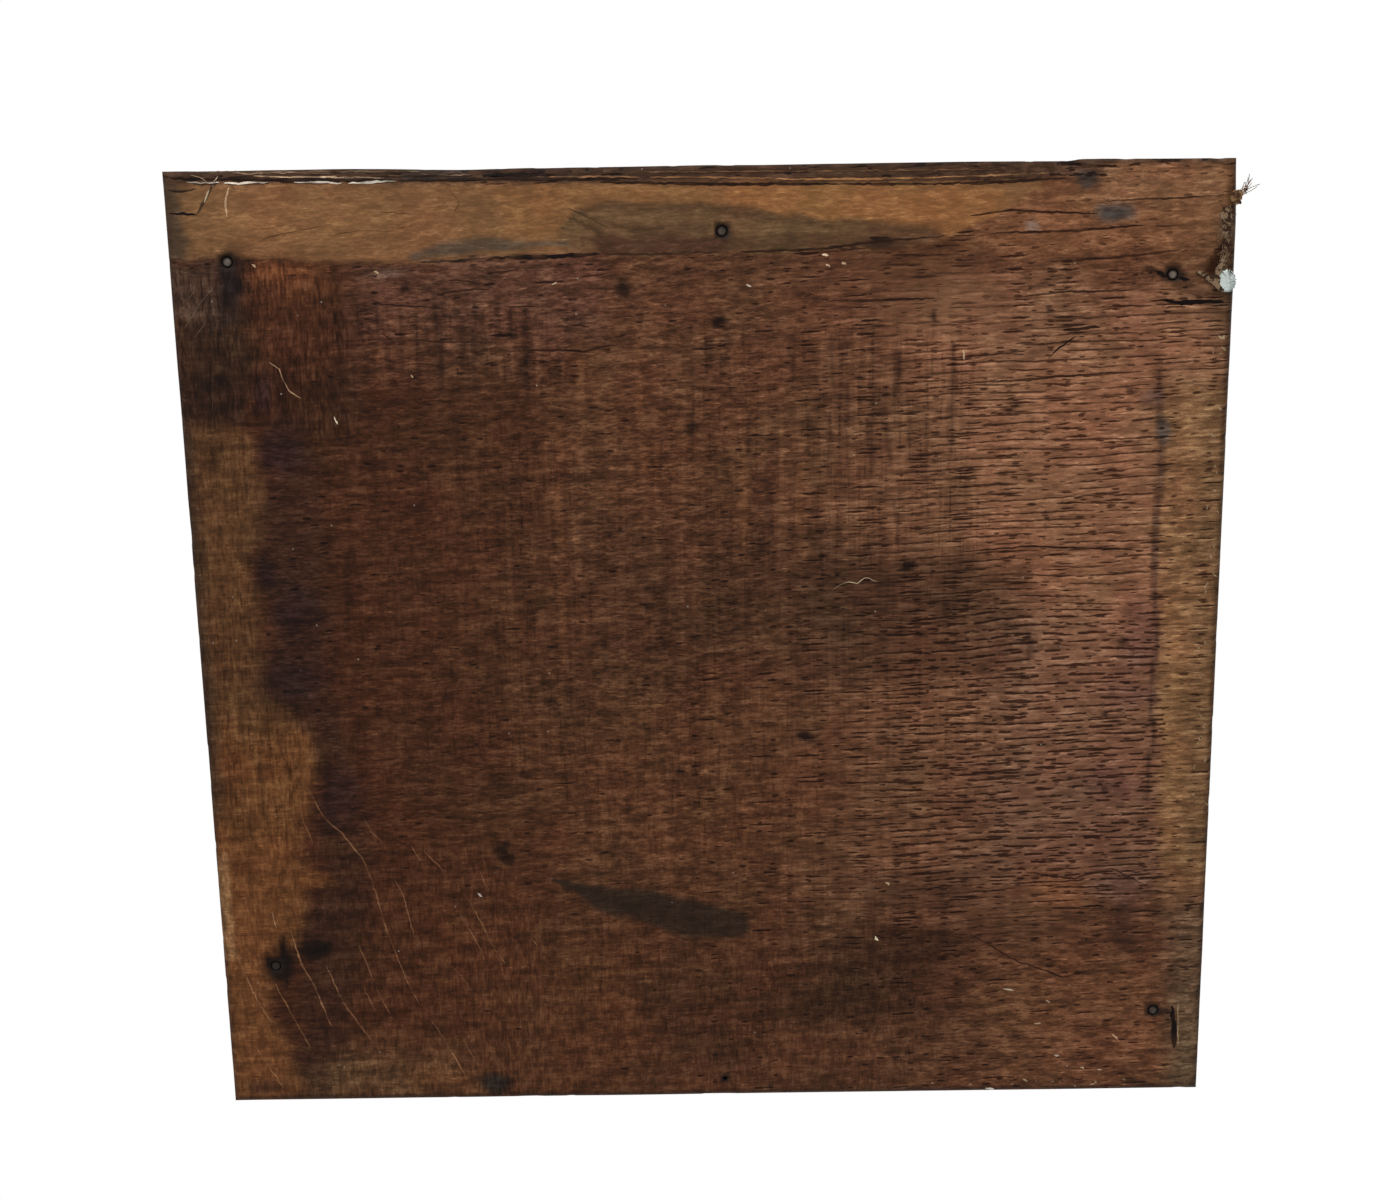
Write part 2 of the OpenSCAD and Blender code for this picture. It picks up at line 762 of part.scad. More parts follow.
module lock_bolt() {
  color("gray") {
    bolt_bar(bar_end - bolt_bar_l, bar_end, 0);
    translate([0, y_eye, z_eye]) rod_x(bar_end - fuse, nose_tip, nose_r);
  }
}

module escutcheon_pin_places() {
  for (s = [-1, 1])
    translate([0, y_fo, z_key - keyhole_l / 3 + s * (escutcheon_half + escutcheon_r / 2)])
      rotate([-90, 0, 0]) children();
}

module escutcheon() {
  color("goldenrod") difference() {
    translate([0, 0, z_key - keyhole_l / 3]) along_y(y_fo - escutcheon_t, y_fo) union() {
      translate([0, escutcheon_half]) circle(escutcheon_r);
      translate([0, -escutcheon_half]) circle(escutcheon_r);
      translate([-escutcheon_r, -escutcheon_half]) square([2 * escutcheon_r, 2 * escutcheon_half]);
    }
    translate([0, 0, z_key]) along_y(y_fo - escutcheon_t - over, y_fo + over) keyhole_outline();
    escutcheon_pin_places() translate([0, 0, -escutcheon_t - over])
      cylinder(h = escutcheon_t + 2 * over, r = escutcheon_pin_r + nail_fit);
  }
}

module escutcheon_pins() {
  color("darkgoldenrod") escutcheon_pin_places() translate([0, 0, -escutcheon_t])
    cylinder(h = escutcheon_t + escutcheon_pin_l, r = escutcheon_pin_r);
}

module nest_shelf() {
  color("burlywood") block([-x_in - housing, y_nf, z_shelf], [x_in + housing, y_bi, z_pigeon]);
}

module drawer_divider() {
  color("burlywood") block([-thin_t / 2, y_nf, base_t], [thin_t / 2, y_bi, z_shelf]);
}

module pigeonhole_divider(x) {
  color("burlywood") difference() {
    block([x - thin_t / 2, y_nf, z_pigeon], [x + thin_t / 2, y_bi, z_top]);
    translate([x, y_nf, z_top]) rod_x(-thin_t, thin_t, hollow_r);
  }
}

module pigeonhole_divider_left() {
  pigeonhole_divider(-pigeon_pitch);
}

module pigeonhole_divider_middle() {
  pigeonhole_divider(0);
}

module pigeonhole_divider_right() {
  pigeonhole_divider(pigeon_pitch);
}

module pen_tray() {
  color("burlywood") difference() {
    block([x_tray, y_fi, base_t], [x_part, y_tray, base_t + tray_h]);
    translate([x_tray + tray_w / 2, y_tray - tray_end, base_t + tray_h + scoop_up]) rotate([90, 0, 0])
      cylinder(h = y_tray - y_fi - 2 * tray_end, r = scoop_r);
  }
}

module ink_partition() {
  color("burlywood") block([x_part, y_fi, base_t], [x_lane, y_tray, base_t + tray_h]);
}

module ink_divider(y) {
  color("burlywood") block([x_lane, y, base_t], [x_in, y + partition_t, base_t + tray_h]);
}

module ink_divider_front() {
  ink_divider(y_ink_front);
}

module ink_divider_middle() {
  ink_divider(pot_y + pocket / 2);
}

module ink_divider_rear() {
  ink_divider(y_tray - partition_t);
}

// outline along the lid, plumb at the hinge line and rounded at the front
module lid_yz() {
  difference() {
    polygon([[-lid_back, 0], [-lid_back - lid_t * tan(slope), -lid_t], [-lid_l, -lid_t], [-lid_l, 0]]);
    translate([lid_round - lid_l, -lid_round]) mirror([1, 0]) corner_waste(lid_round);
  }
}

// length of the lid between two X planes, cut at the ends of the lid
module lid_slice(x0, x1) {
  intersection() {
    along_x(x0, x1) lid_yz();
    along_y(-lid_l - over, over) top_xz(lid_t);
  }
}

module lid_tongues() {
  intersection() {
    along_x(-panel_hw - tongue_l, panel_hw + tongue_l) lid_yz();
    block([-far, -far, -lid_t / 2 - tongue_t / 2], [far, far, tongue_t / 2 - lid_t / 2]);
  }
}

module rest_pin_places() {
  for (i = [-1:1]) translate([i * rest_hl * 3 / 4, rest_u, -rest_pin_deep]) children();
}

module lid_panel() {
  color("sienna") lid_place() difference() {
    union() {
      lid_slice(-panel_hw, panel_hw);
      lid_tongues();
    }
    mirror([0, 1, 0]) hinge_pockets();
    rest_pin_places() cylinder(h = rest_pin_deep + over, r = rest_pin_r + nail_fit);
    staple_blank();
    staple_screw_places() screw_hole(small_screw_r, small_head_r, small_head_h, small_screw_l);
  }
}

module lid_cleat() {
  difference() {
    lid_slice(panel_hw, lid_hw + over);
    lid_tongues();
  }
}

module lid_cleat_left() {
  color("peru") lid_place() mirror([1, 0, 0]) lid_cleat();
}

module lid_cleat_right() {
  color("peru") lid_place() lid_cleat();
}

module book_rest() {
  color("sienna") lid_place() difference() {
    translate([0, rest_u, 0]) along_x(-rest_hl, rest_hl) union() {
      translate([-rest_w / 2, 0]) square([rest_w, rest_h - rest_w / 2]);
      translate([0, rest_h - rest_w / 2]) intersection() {
        circle(rest_w / 2);
        translate([-rest_w, 0]) square([2 * rest_w, rest_w]);
      }
    }
    rest_pin_places() cylinder(h = rest_pin_deep + rest_h + over, r = rest_pin_r + nail_fit);
  }
}

module book_rest_pins() {
  color("dimgray") lid_place() rest_pin_places()
    cylinder(h = rest_pin_deep + rest_h - nail_fit, r = rest_pin_r);
}

module lid_leaf(x) {
  color("goldenrod") lid_place() mirror([0, 1, 0]) translate([x, 0, 0]) hinge_leaf(lid_knuckles);
}

module left_hinge_lid_leaf() {
  lid_leaf(-hinge_x);
}

module right_hinge_lid_leaf() {
  lid_leaf(hinge_x);
}

module lid_hinge_screws() {
  color("darkgoldenrod") lid_place() mirror([0, 1, 0]) hinge_screws();
}

// plate of the staple, let in flush under the lid
module staple_blank() {
  block([-staple_plate_l / 2, staple_u - staple_w - staple_margin, -lid_t],
    [staple_plate_l / 2, staple_u + staple_margin, staple_plate_t - lid_t]);
}

module staple_screw_places() {
  for (s = [-1, 1]) translate([s * staple_plate_l / 3, eye_u, -lid_t]) rotate([180, 0, 0]) children();
}

module staple_plate() {
  color("goldenrod") lid_place() difference() {
    union() {
      staple_blank();
      block([-staple_t / 2, staple_u - staple_w, -staple_tip], [staple_t / 2, staple_u, fuse - lid_t]);
    }
    translate([0, eye_u, eye_w]) rod_x(-staple_t, staple_t, eye_r);
    staple_screw_places() screw_hole(small_screw_r, small_head_r, small_head_h, small_screw_l);
  }
}

module staple_screws() {
  color("darkgoldenrod") lid_place() staple_screw_places()
    screw(small_screw_r, small_head_r, small_head_h, small_screw_l);
}

// drawer pieces round the middle of their compartment
module drawer_bottom_block(x) {
  hw = drawer_w / 2 - drawer_side_t + groove;
  z0 = base_t + drawer_bottom_up;
  block([x - hw, y_nf + drawer_front_t - groove, z0], [x + hw, drawer_end, z0 + drawer_bottom_t]);
}

module drawer_side_block(x, s) {
  x0 = s * drawer_w / 2;
  x1 = s * (drawer_w / 2 - drawer_side_t);
  block([x + min(x0, x1), y_nf + drawer_front_t - drawer_side_t, base_t],
    [x + max(x0, x1), drawer_end, base_t + drawer_h]);
}

module drawer_front(x) {
  color("peru") difference() {
    block([x - drawer_w / 2, y_nf, base_t], [x + drawer_w / 2, y_nf + drawer_front_t, base_t + drawer_h]);
    for (s = [-1, 1]) drawer_side_block(x, s);
    drawer_bottom_block(x);
    knob_place(x) translate([0, 0, -drawer_front_t - over])
      cylinder(h = drawer_front_t + 2 * over, r = spigot_r + spigot_fit);
  }
}

module drawer_side(x, s) {
  color("burlywood") difference() {
    drawer_side_block(x, s);
    drawer_bottom_block(x);
  }
}

module drawer_back(x) {
  hw = drawer_w / 2 - drawer_side_t;
  color("burlywood") block([x - hw, drawer_end - drawer_side_t, base_t + drawer_bottom_up + drawer_bottom_t],
    [x + hw, drawer_end, base_t + drawer_h]);
}

module drawer_bottom(x) {
  color("tan") drawer_bottom_block(x);
}

module knob_place(x) {
  translate([x, y_nf, knob_z]) rotate([90, 0, 0]) children();
}

module drawer_knob(x) {
  color("goldenrod") knob_place(x) {
    cylinder(h = knob_foot_h, r = knob_foot_r);
    cylinder(h = knob_out, r = knob_neck_r);
    translate([0, 0, knob_out]) sphere(knob_r);
    translate([0, 0, -drawer_front_t]) cylinder(h = drawer_front_t + fuse, r = spigot_r);
  }
}

module left_drawer_front() {
  drawer_front(-drawer_x);
}

module left_drawer_side_a() {
  drawer_side(-drawer_x, -1);
}

module left_drawer_side_b() {
  drawer_side(-drawer_x, 1);
}

module left_drawer_back() {
  drawer_back(-drawer_x);
}

module left_drawer_bottom() {
  drawer_bottom(-drawer_x);
}

module left_drawer_knob() {
  drawer_knob(-drawer_x);
}

module right_drawer_front() {
  drawer_front(drawer_x);
}

module right_drawer_side_a() {
  drawer_side(drawer_x, -1);
}

module right_drawer_side_b() {
  drawer_side(drawer_x, 1);
}

module right_drawer_back() {
  drawer_back(drawer_x);
}

module right_drawer_bottom() {
  drawer_bottom(drawer_x);
}

module right_drawer_knob() {
  drawer_knob(drawer_x);
}

module ink_place() {
  translate([ink_x, ink_y, 0]) children();
}

module ink_outline() {
  side = ink_w / 2 - ink_corner;
  for (x = [-side, side], y = [-side, side]) translate([x, y]) circle(ink_corner);
  translate([-side, -ink_w / 2]) square([2 * side, ink_w]);
  translate([-ink_w / 2, -side]) square([ink_w, 2 * side]);
}

module inkwell_glass() {
  color("lightblue") ink_place() difference() {
    union() {
      translate([0, 0, base_t]) linear_extrude(ink_h) ink_outline();
      translate([0, 0, z_neck - fuse]) cylinder(h = neck_h + fuse, r = neck_r);
    }
    translate([0, 0, base_t + cavity_floor]) cylinder(h = far, r = cavity_r);
  }
}

module inkwell_collar() {
  color("goldenrod") ink_place() difference() {
    union() {
      translate([0, 0, z_neck]) cylinder(h = z_collar - z_neck, r = collar_out);
      for (s = [0, 1]) mirror([s, 0, 0]) {
        block([lug_x, 0, z_neck + fuse], [lug_x + lug_w, cap_pin_y, z_collar - fuse / 2]);
        translate([0, cap_pin_y, cap_pin_z]) rod_x(lug_x, lug_x + lug_w, cap_knuckle_r);
      }
    }
    translate([0, 0, z_neck - over]) cylinder(h = far, r = collar_in);
    translate([0, cap_pin_y, cap_pin_z]) rod_x(-collar_out, collar_out, cap_pin_r + pin_fit);
  }
}

module inkwell_pin() {
  color("gray") ink_place() translate([0, cap_pin_y, cap_pin_z])
    rod_x(-lug_x - lug_w, lug_x + lug_w, cap_pin_r);
}

module inkwell_cap() {
  color("goldenrod") ink_place() difference() {
    union() {
      translate([0, 0, z_cap]) cylinder(h = cap_t, r = collar_out);
      intersection() {
        translate([0, 0, z_dome + dome_h - dome_ball]) sphere(dome_ball);
        translate([0, 0, z_cap + cap_t / 2]) cylinder(h = dome_ball, r = dome_r);
      }
      translate([0, 0, z_dome + dome_h + bead_r / 2]) sphere(bead_r);
      block([-cap_knuckle_w / 2, collar_out - cap_knuckle_r, z_cap],
        [cap_knuckle_w / 2, cap_pin_y, z_dome]);
      translate([0, cap_pin_y, cap_pin_z]) rod_x(-cap_knuckle_w / 2, cap_knuckle_w / 2, cap_knuckle_r);
    }
    translate([0, cap_pin_y, cap_pin_z]) rod_x(-collar_out, collar_out, cap_pin_r + pin_fit);
  }
}

module pounce_pot() {
  waist_h = pot_h - 2 * pot_band;
  taper = pot_r - pot_waist_r;
  color("peru") translate([ink_x, pot_y, base_t]) difference() {
    union() {
      cylinder(h = pot_band - taper, r = pot_r);
      translate([0, 0, pot_band - taper]) cylinder(h = taper, r1 = pot_r, r2 = pot_waist_r);
      translate([0, 0, pot_band]) cylinder(h = waist_h, r = pot_waist_r);
      translate([0, 0, pot_h - pot_band]) cylinder(h = taper, r1 = pot_waist_r, r2 = pot_r);
      translate([0, 0, pot_h - pot_band + taper]) cylinder(h = pot_band - taper, r = pot_r);
    }
    translate([0, 0, cavity_floor]) cylinder(h = pot_h, r = pot_hollow_r);
  }
}

base_board();
base_nails();
front_board();
back_board();
left_side();
right_side();
top_ledge();
ledge_nails();
left_hinge_ledge_leaf();
right_hinge_ledge_leaf();
hinge_pins();
ledge_hinge_screws();
lock_case();
lock_cap();
lock_screws();
escutcheon();
escutcheon_pins();
nest_shelf();
drawer_divider();
pigeonhole_divider_left();
pigeonhole_divider_middle();
pigeonhole_divider_right();
pen_tray();
ink_partition();
ink_divider_front();
ink_divider_middle();
ink_divider_rear();
lid_panel();
lid_cleat_left();
lid_cleat_right();
book_rest();
book_rest_pins();
left_hinge_lid_leaf();
right_hinge_lid_leaf();
lid_hinge_screws();
staple_plate();
staple_screws();
lock_bolt();
left_drawer_front();
left_drawer_side_a();
left_drawer_side_b();
left_drawer_back();
left_drawer_bottom();
left_drawer_knob();
right_drawer_front();
right_drawer_side_a();
right_drawer_side_b();
right_drawer_back();
right_drawer_bottom();
right_drawer_knob();
inkwell_glass();
inkwell_collar();
inkwell_pin();
inkwell_cap();
pounce_pot();
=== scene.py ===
# Looks of the table-top writing slope: worn oak base, waxed oak case, brass and glass fittings.
import json
import math
from functools import partialmethod

import bpy
import numpy as np
from mathutils import Matrix, Vector


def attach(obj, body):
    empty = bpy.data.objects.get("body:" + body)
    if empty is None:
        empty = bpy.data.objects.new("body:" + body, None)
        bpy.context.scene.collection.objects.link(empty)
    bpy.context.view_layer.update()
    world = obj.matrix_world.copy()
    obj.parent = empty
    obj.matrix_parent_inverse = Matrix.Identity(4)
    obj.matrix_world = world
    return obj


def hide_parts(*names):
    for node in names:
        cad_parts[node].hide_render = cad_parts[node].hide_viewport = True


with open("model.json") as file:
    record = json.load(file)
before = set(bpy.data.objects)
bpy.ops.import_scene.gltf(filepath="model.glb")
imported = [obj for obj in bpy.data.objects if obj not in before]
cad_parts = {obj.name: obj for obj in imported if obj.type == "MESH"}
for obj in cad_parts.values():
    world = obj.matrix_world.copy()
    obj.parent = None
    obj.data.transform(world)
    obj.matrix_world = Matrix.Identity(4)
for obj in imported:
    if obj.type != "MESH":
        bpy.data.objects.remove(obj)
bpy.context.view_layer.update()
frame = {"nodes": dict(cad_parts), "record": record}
scene = bpy.context.scene

# Camera below the slope, looking up at its underside (millimetres, and pixels of a 1386 by 1200 frame)
FRAME_W, FRAME_H, FOCAL = 1386, 1200, 1250.0
SENSOR_W, CLIP_START = 36, 0.01
EYE = np.array((-4.08, -90.31, -457.13))
LOOK = np.array((-0.0024, 0.14997, 0.98869))
LOOK /= np.linalg.norm(LOOK)
UP = np.array((0.01523, -0.98857, 0.14999))
UP -= LOOK * (UP @ LOOK)
UP /= np.linalg.norm(UP)
RIGHT = np.cross(LOOK, UP)
SHEET_Z = 0.3


def to_frame(x, y):
    """Frame pixels of points on the underside, given in millimetres."""
    rel = np.stack([x - EYE[0], y - EYE[1], np.full_like(x, SHEET_Z) - EYE[2]], -1)
    depth = rel @ LOOK
    return FRAME_W / 2 + FOCAL * (rel @ RIGHT) / depth, FRAME_H / 2 - FOCAL * (rel @ UP) / depth


def on_board(px, py):
    """Place on the underside, in millimetres, that shows at a frame pixel."""
    ray = LOOK + RIGHT * (px - FRAME_W / 2) / FOCAL - UP * (py - FRAME_H / 2) / FOCAL
    return (EYE + ray * ((SHEET_Z - EYE[2]) / ray[2]))[:2]


def place(name, data):
    """Puts a new object into the scene."""
    obj = bpy.data.objects.new(name, data)
    scene.collection.objects.link(obj)
    return obj


def add_camera():
    data = bpy.data.cameras.new("photo_camera")
    data.sensor_width = SENSOR_W
    data.lens = FOCAL / FRAME_W * SENSOR_W
    data.clip_start = CLIP_START
    turn = Matrix((RIGHT, UP, -LOOK)).transposed().to_4x4()
    scene.camera = place("photo_camera", data)
    scene.camera.matrix_world = Matrix.Translation(EYE / 1000) @ turn


# Small helpers for numbers and colours
def linear(r, g, b):
    """Colour for the renderer, from one in screen levels of 0 to 255."""
    c = np.array((r, g, b), float) / 255
    return np.where(c <= 0.04045, c / 12.92, ((c + 0.055) / 1.055) ** 2.4)


def smooth(a, b, x):
    """Goes from 0 at a to 1 at b, with soft ends."""
    t = np.clip((x - a) / (b - a), 0, 1)
    return t * t * (3 - 2 * t)


def value_noise(x, y, seed, size=128):
    """Soft noise from 0 to 1, with a random value at each whole step."""
    table = np.random.RandomState(seed).rand(size, size)
    xi, yi = np.floor(x).astype(int), np.floor(y).astype(int)
    fx, fy = smooth(0, 1, x - xi), smooth(0, 1, y - yi)
    x0, x1, y0, y1 = xi % size, (xi + 1) % size, yi % size, (yi + 1) % size
    low = table[y0, x0] * (1 - fx) + table[y0, x1] * fx
    high = table[y1, x0] * (1 - fx) + table[y1, x1] * fx
    return low * (1 - fy) + high * fy


def layered(x, y, seed, octaves=4):
    """Noise of several sizes on top of each other."""
    total, amount, weight = 0.0, 0.5, 0.0
    for i in range(octaves):
        total = total + amount * value_noise(x * 2**i, y * 2**i, seed + i)
        weight += amount
        amount /= 2
    return total / weight


# Node materials
class Shader:
    """Nodes made by short calls. A value is a number, a tuple or another node's socket."""

    def __init__(self, name, kind="materials"):
        self.owner = getattr(bpy.data, kind).new(name)
        self.owner.use_nodes = True
        self.tree = self.owner.node_tree
        self.tree.nodes.clear()

    def node(self, kind, inputs=(), **settings):
        made = self.tree.nodes.new(kind)
        for key, value in settings.items():
            setattr(made, key, value)
        for key, value in dict(inputs).items():
            self.put(made.inputs[key], value)
        return made

    def put(self, socket, value):
        if isinstance(value, bpy.types.NodeSocket):
            self.tree.links.new(value, socket)
        elif hasattr(socket.default_value, "__len__") and len(socket.default_value) == 4 and len(value) == 3:
            socket.default_value = (*value, 1)
        else:
            socket.default_value = value

    def math(self, op, a, b=0.0, c=0.0):
        return self.node("ShaderNodeMath", {0: a, 1: b, 2: c}, operation=op).outputs[0]

    # mad multiplies and then adds, size drops the sign
    mul = partialmethod(math, "MULTIPLY")
    mad = partialmethod(math, "MULTIPLY_ADD")
    add = partialmethod(math, "ADD")
    sub = partialmethod(math, "SUBTRACT")
    less = partialmethod(math, "LESS_THAN")
    more = partialmethod(math, "GREATER_THAN")
    size = partialmethod(math, "ABSOLUTE")

    def most(self, first, *others):
        """The largest of several values."""
        for other in others:
            first = self.math("MAXIMUM", first, other)
        return first

    def ramp(self, value, low, high, to_low=0.0, to_high=1.0):
        made = self.node("ShaderNodeMapRange", {0: value, 1: low, 2: high, 3: to_low, 4: to_high},
                         interpolation_type="SMOOTHSTEP")
        return made.outputs[0]

    def choose(self, factor, a, b):
        """Mixes two numbers."""
        return self.node("ShaderNodeMix", {0: factor, 2: a, 3: b}).outputs[0]

    def mix(self, factor, a, b, blend="MIX"):
        """Mixes two colours."""
        made = self.node("ShaderNodeMix", data_type="RGBA", blend_type=blend)
        for i, value in ((0, factor), (6, a), (7, b)):
            self.put(made.inputs[i], value)
        return made.outputs[2]

    def tint(self, colour, by):
        return self.mix(1.0, colour, by, "MULTIPLY")

    def shade(self, amount, colour, by):
        """A colour tinted by an amount only."""
        return self.mix(amount, colour, self.tint(colour, by))

    def channels(self, colour):
        return self.node("ShaderNodeSeparateColor", {0: colour}).outputs

    def noise(self, vector, scale=1.0, detail=2.0, rough=0.5, distortion=0.0):
        made = self.node("ShaderNodeTexNoise", {"Vector": vector, "Scale": scale, "Detail": detail,
                                                "Roughness": rough, "Distortion": distortion})
        return made.outputs[0]

    def axes(self, vector):
        return self.node("ShaderNodeSeparateXYZ", {0: vector}).outputs

    def vector(self, x, y, z=0.0):
        return self.node("ShaderNodeCombineXYZ", {0: x, 1: y, 2: z}).outputs[0]

    def millimetres(self, turn=(0, 0, 0)):
        coord = self.node("ShaderNodeTexCoord").outputs["Object"]
        turned = {"Vector": coord, "Rotation": turn, "Scale": (1000, 1000, 1000)}
        return self.node("ShaderNodeMapping", turned).outputs[0]

    def attribute(self, name):
        return self.node("ShaderNodeAttribute", attribute_name=name).outputs

    def bump(self, height, strength, distance):
        relief = {"Height": height, "Strength": strength, "Distance": distance}
        return self.node("ShaderNodeBump", relief).outputs[0]

    def finish(self, **sockets):
        shader = self.node("ShaderNodeBsdfPrincipled", {k.replace("_", " "): v for k, v in sockets.items()})
        self.node("ShaderNodeOutputMaterial", {"Surface": shader.outputs[0]})
        return self.owner


def stretched(s, x, y, z, along, over, **noise):
    """Noise drawn out along X."""
    return s.noise(s.vector(s.mul(x, along), s.mul(y, over), s.mul(z, over)), **noise)


def dashes(s, x, y, along, over, share, size, z=None):
    """Separate dashes along the grain, one in a share of the cells of a stretched pattern."""
    spot = s.vector(s.mul(x, along), s.mul(y, over), 0.0 if z is None else s.mul(z, over))
    cells = s.node("ShaderNodeTexVoronoi", {"Vector": spot, "Scale": 1.0},
                   voronoi_dimensions="2D" if z is None else "3D").outputs
    pick = s.channels(cells["Color"])
    reach = s.math("DIVIDE", cells["Distance"], s.mad(pick[1], size, size * 0.5))
    return s.mul(s.ramp(reach, 0.55, 1.0, 1.0, 0.0), s.less(pick[0], share))


def specks(s, mm, scale, core, rim, channel):
    """Round specks, one in three tenths of the cells of a pattern."""
    cells = s.node("ShaderNodeTexVoronoi", {"Vector": mm, "Scale": scale}).outputs
    chosen = s.less(s.channels(cells["Color"])[channel], 0.3)
    return s.mul(s.ramp(cells["Distance"], core, rim, 1.0, 0.0), chosen)


def face_plane(s, turn, x, y, z):
    """The two coordinates that lie in whichever face is looked at, and how far the face looks up."""
    flat = s.node("ShaderNodeTexCoord").outputs["Normal"]
    nx, _, nz = s.axes(s.node("ShaderNodeMapping", {"Vector": flat, "Rotation": turn}).outputs[0])
    return s.choose(s.more(s.size(nx), 0.7), x, y), s.choose(s.more(s.size(nz), 0.7), z, y), nz


def scratches(s, u, v, lean, shift):
    """Long thin scratches that all lean about the same way, bowed a little."""
    bow = s.noise(s.vector(s.mul(u, 0.02), s.mul(v, 0.02), shift), detail=1.0)
    run = s.mad(u, math.cos(lean), s.mad(v, math.sin(lean), shift * 10))
    side = s.mad(v, math.cos(lean), s.mad(u, -math.sin(lean), shift))
    return dashes(s, run, s.mad(bow, 14.0, side), 0.004, 0.2, 0.32, 0.05)


def edge_mask(s, radius):
    """One along the arrises of a piece, nothing on its faces."""
    round_normal = s.node("ShaderNodeBevel", {"Radius": radius}, samples=4).outputs[0]
    normal = s.node("ShaderNodeNewGeometry").outputs["Normal"]
    same = s.node("ShaderNodeVectorMath", {0: round_normal, 1: normal}, operation="DOT_PRODUCT")
    return s.ramp(same.outputs["Value"], 0.78, 0.992, 1.0, 0.0)


def ring_lines(s, x, y, open_grain):
    """Rings of early wood as even broken lines, and a painted highlight under each of them."""
    bent = stretched(s, x, y, 0.0, 0.012, 0.03, detail=2.0)
    phase = s.mad(bent, 3.0, s.math("DIVIDE", y, 2.9))
    step, year = s.math("FRACT", phase), s.math("FLOOR", phase)
    gate = s.noise(s.vector(s.mul(x, 0.05), s.mul(year, 5.3)), detail=2.0)
    short = s.noise(s.vector(s.mul(x, 0.15), s.mul(year, 7.7)), detail=1.0)
    gate = s.mix(s.ramp(open_grain, 0.95, 1.12), gate, short)
    gate = s.mul(s.ramp(gate, 0.44, 0.52), s.ramp(open_grain, 0.45, 1.05))
    away = s.sub(s.size(s.sub(step, 0.45)), s.ramp(open_grain, 0.95, 1.15, 0.0, 0.03))
    line = s.mul(gate, s.ramp(away, 0.04, 0.15, 1.0, 0.0))
    # the second mask is the painted highlight, a lighter line just under each ring line
    return line, s.mul(gate, s.ramp(s.size(s.sub(step, 0.72)), 0.05, 0.18, 1.0, 0.0))


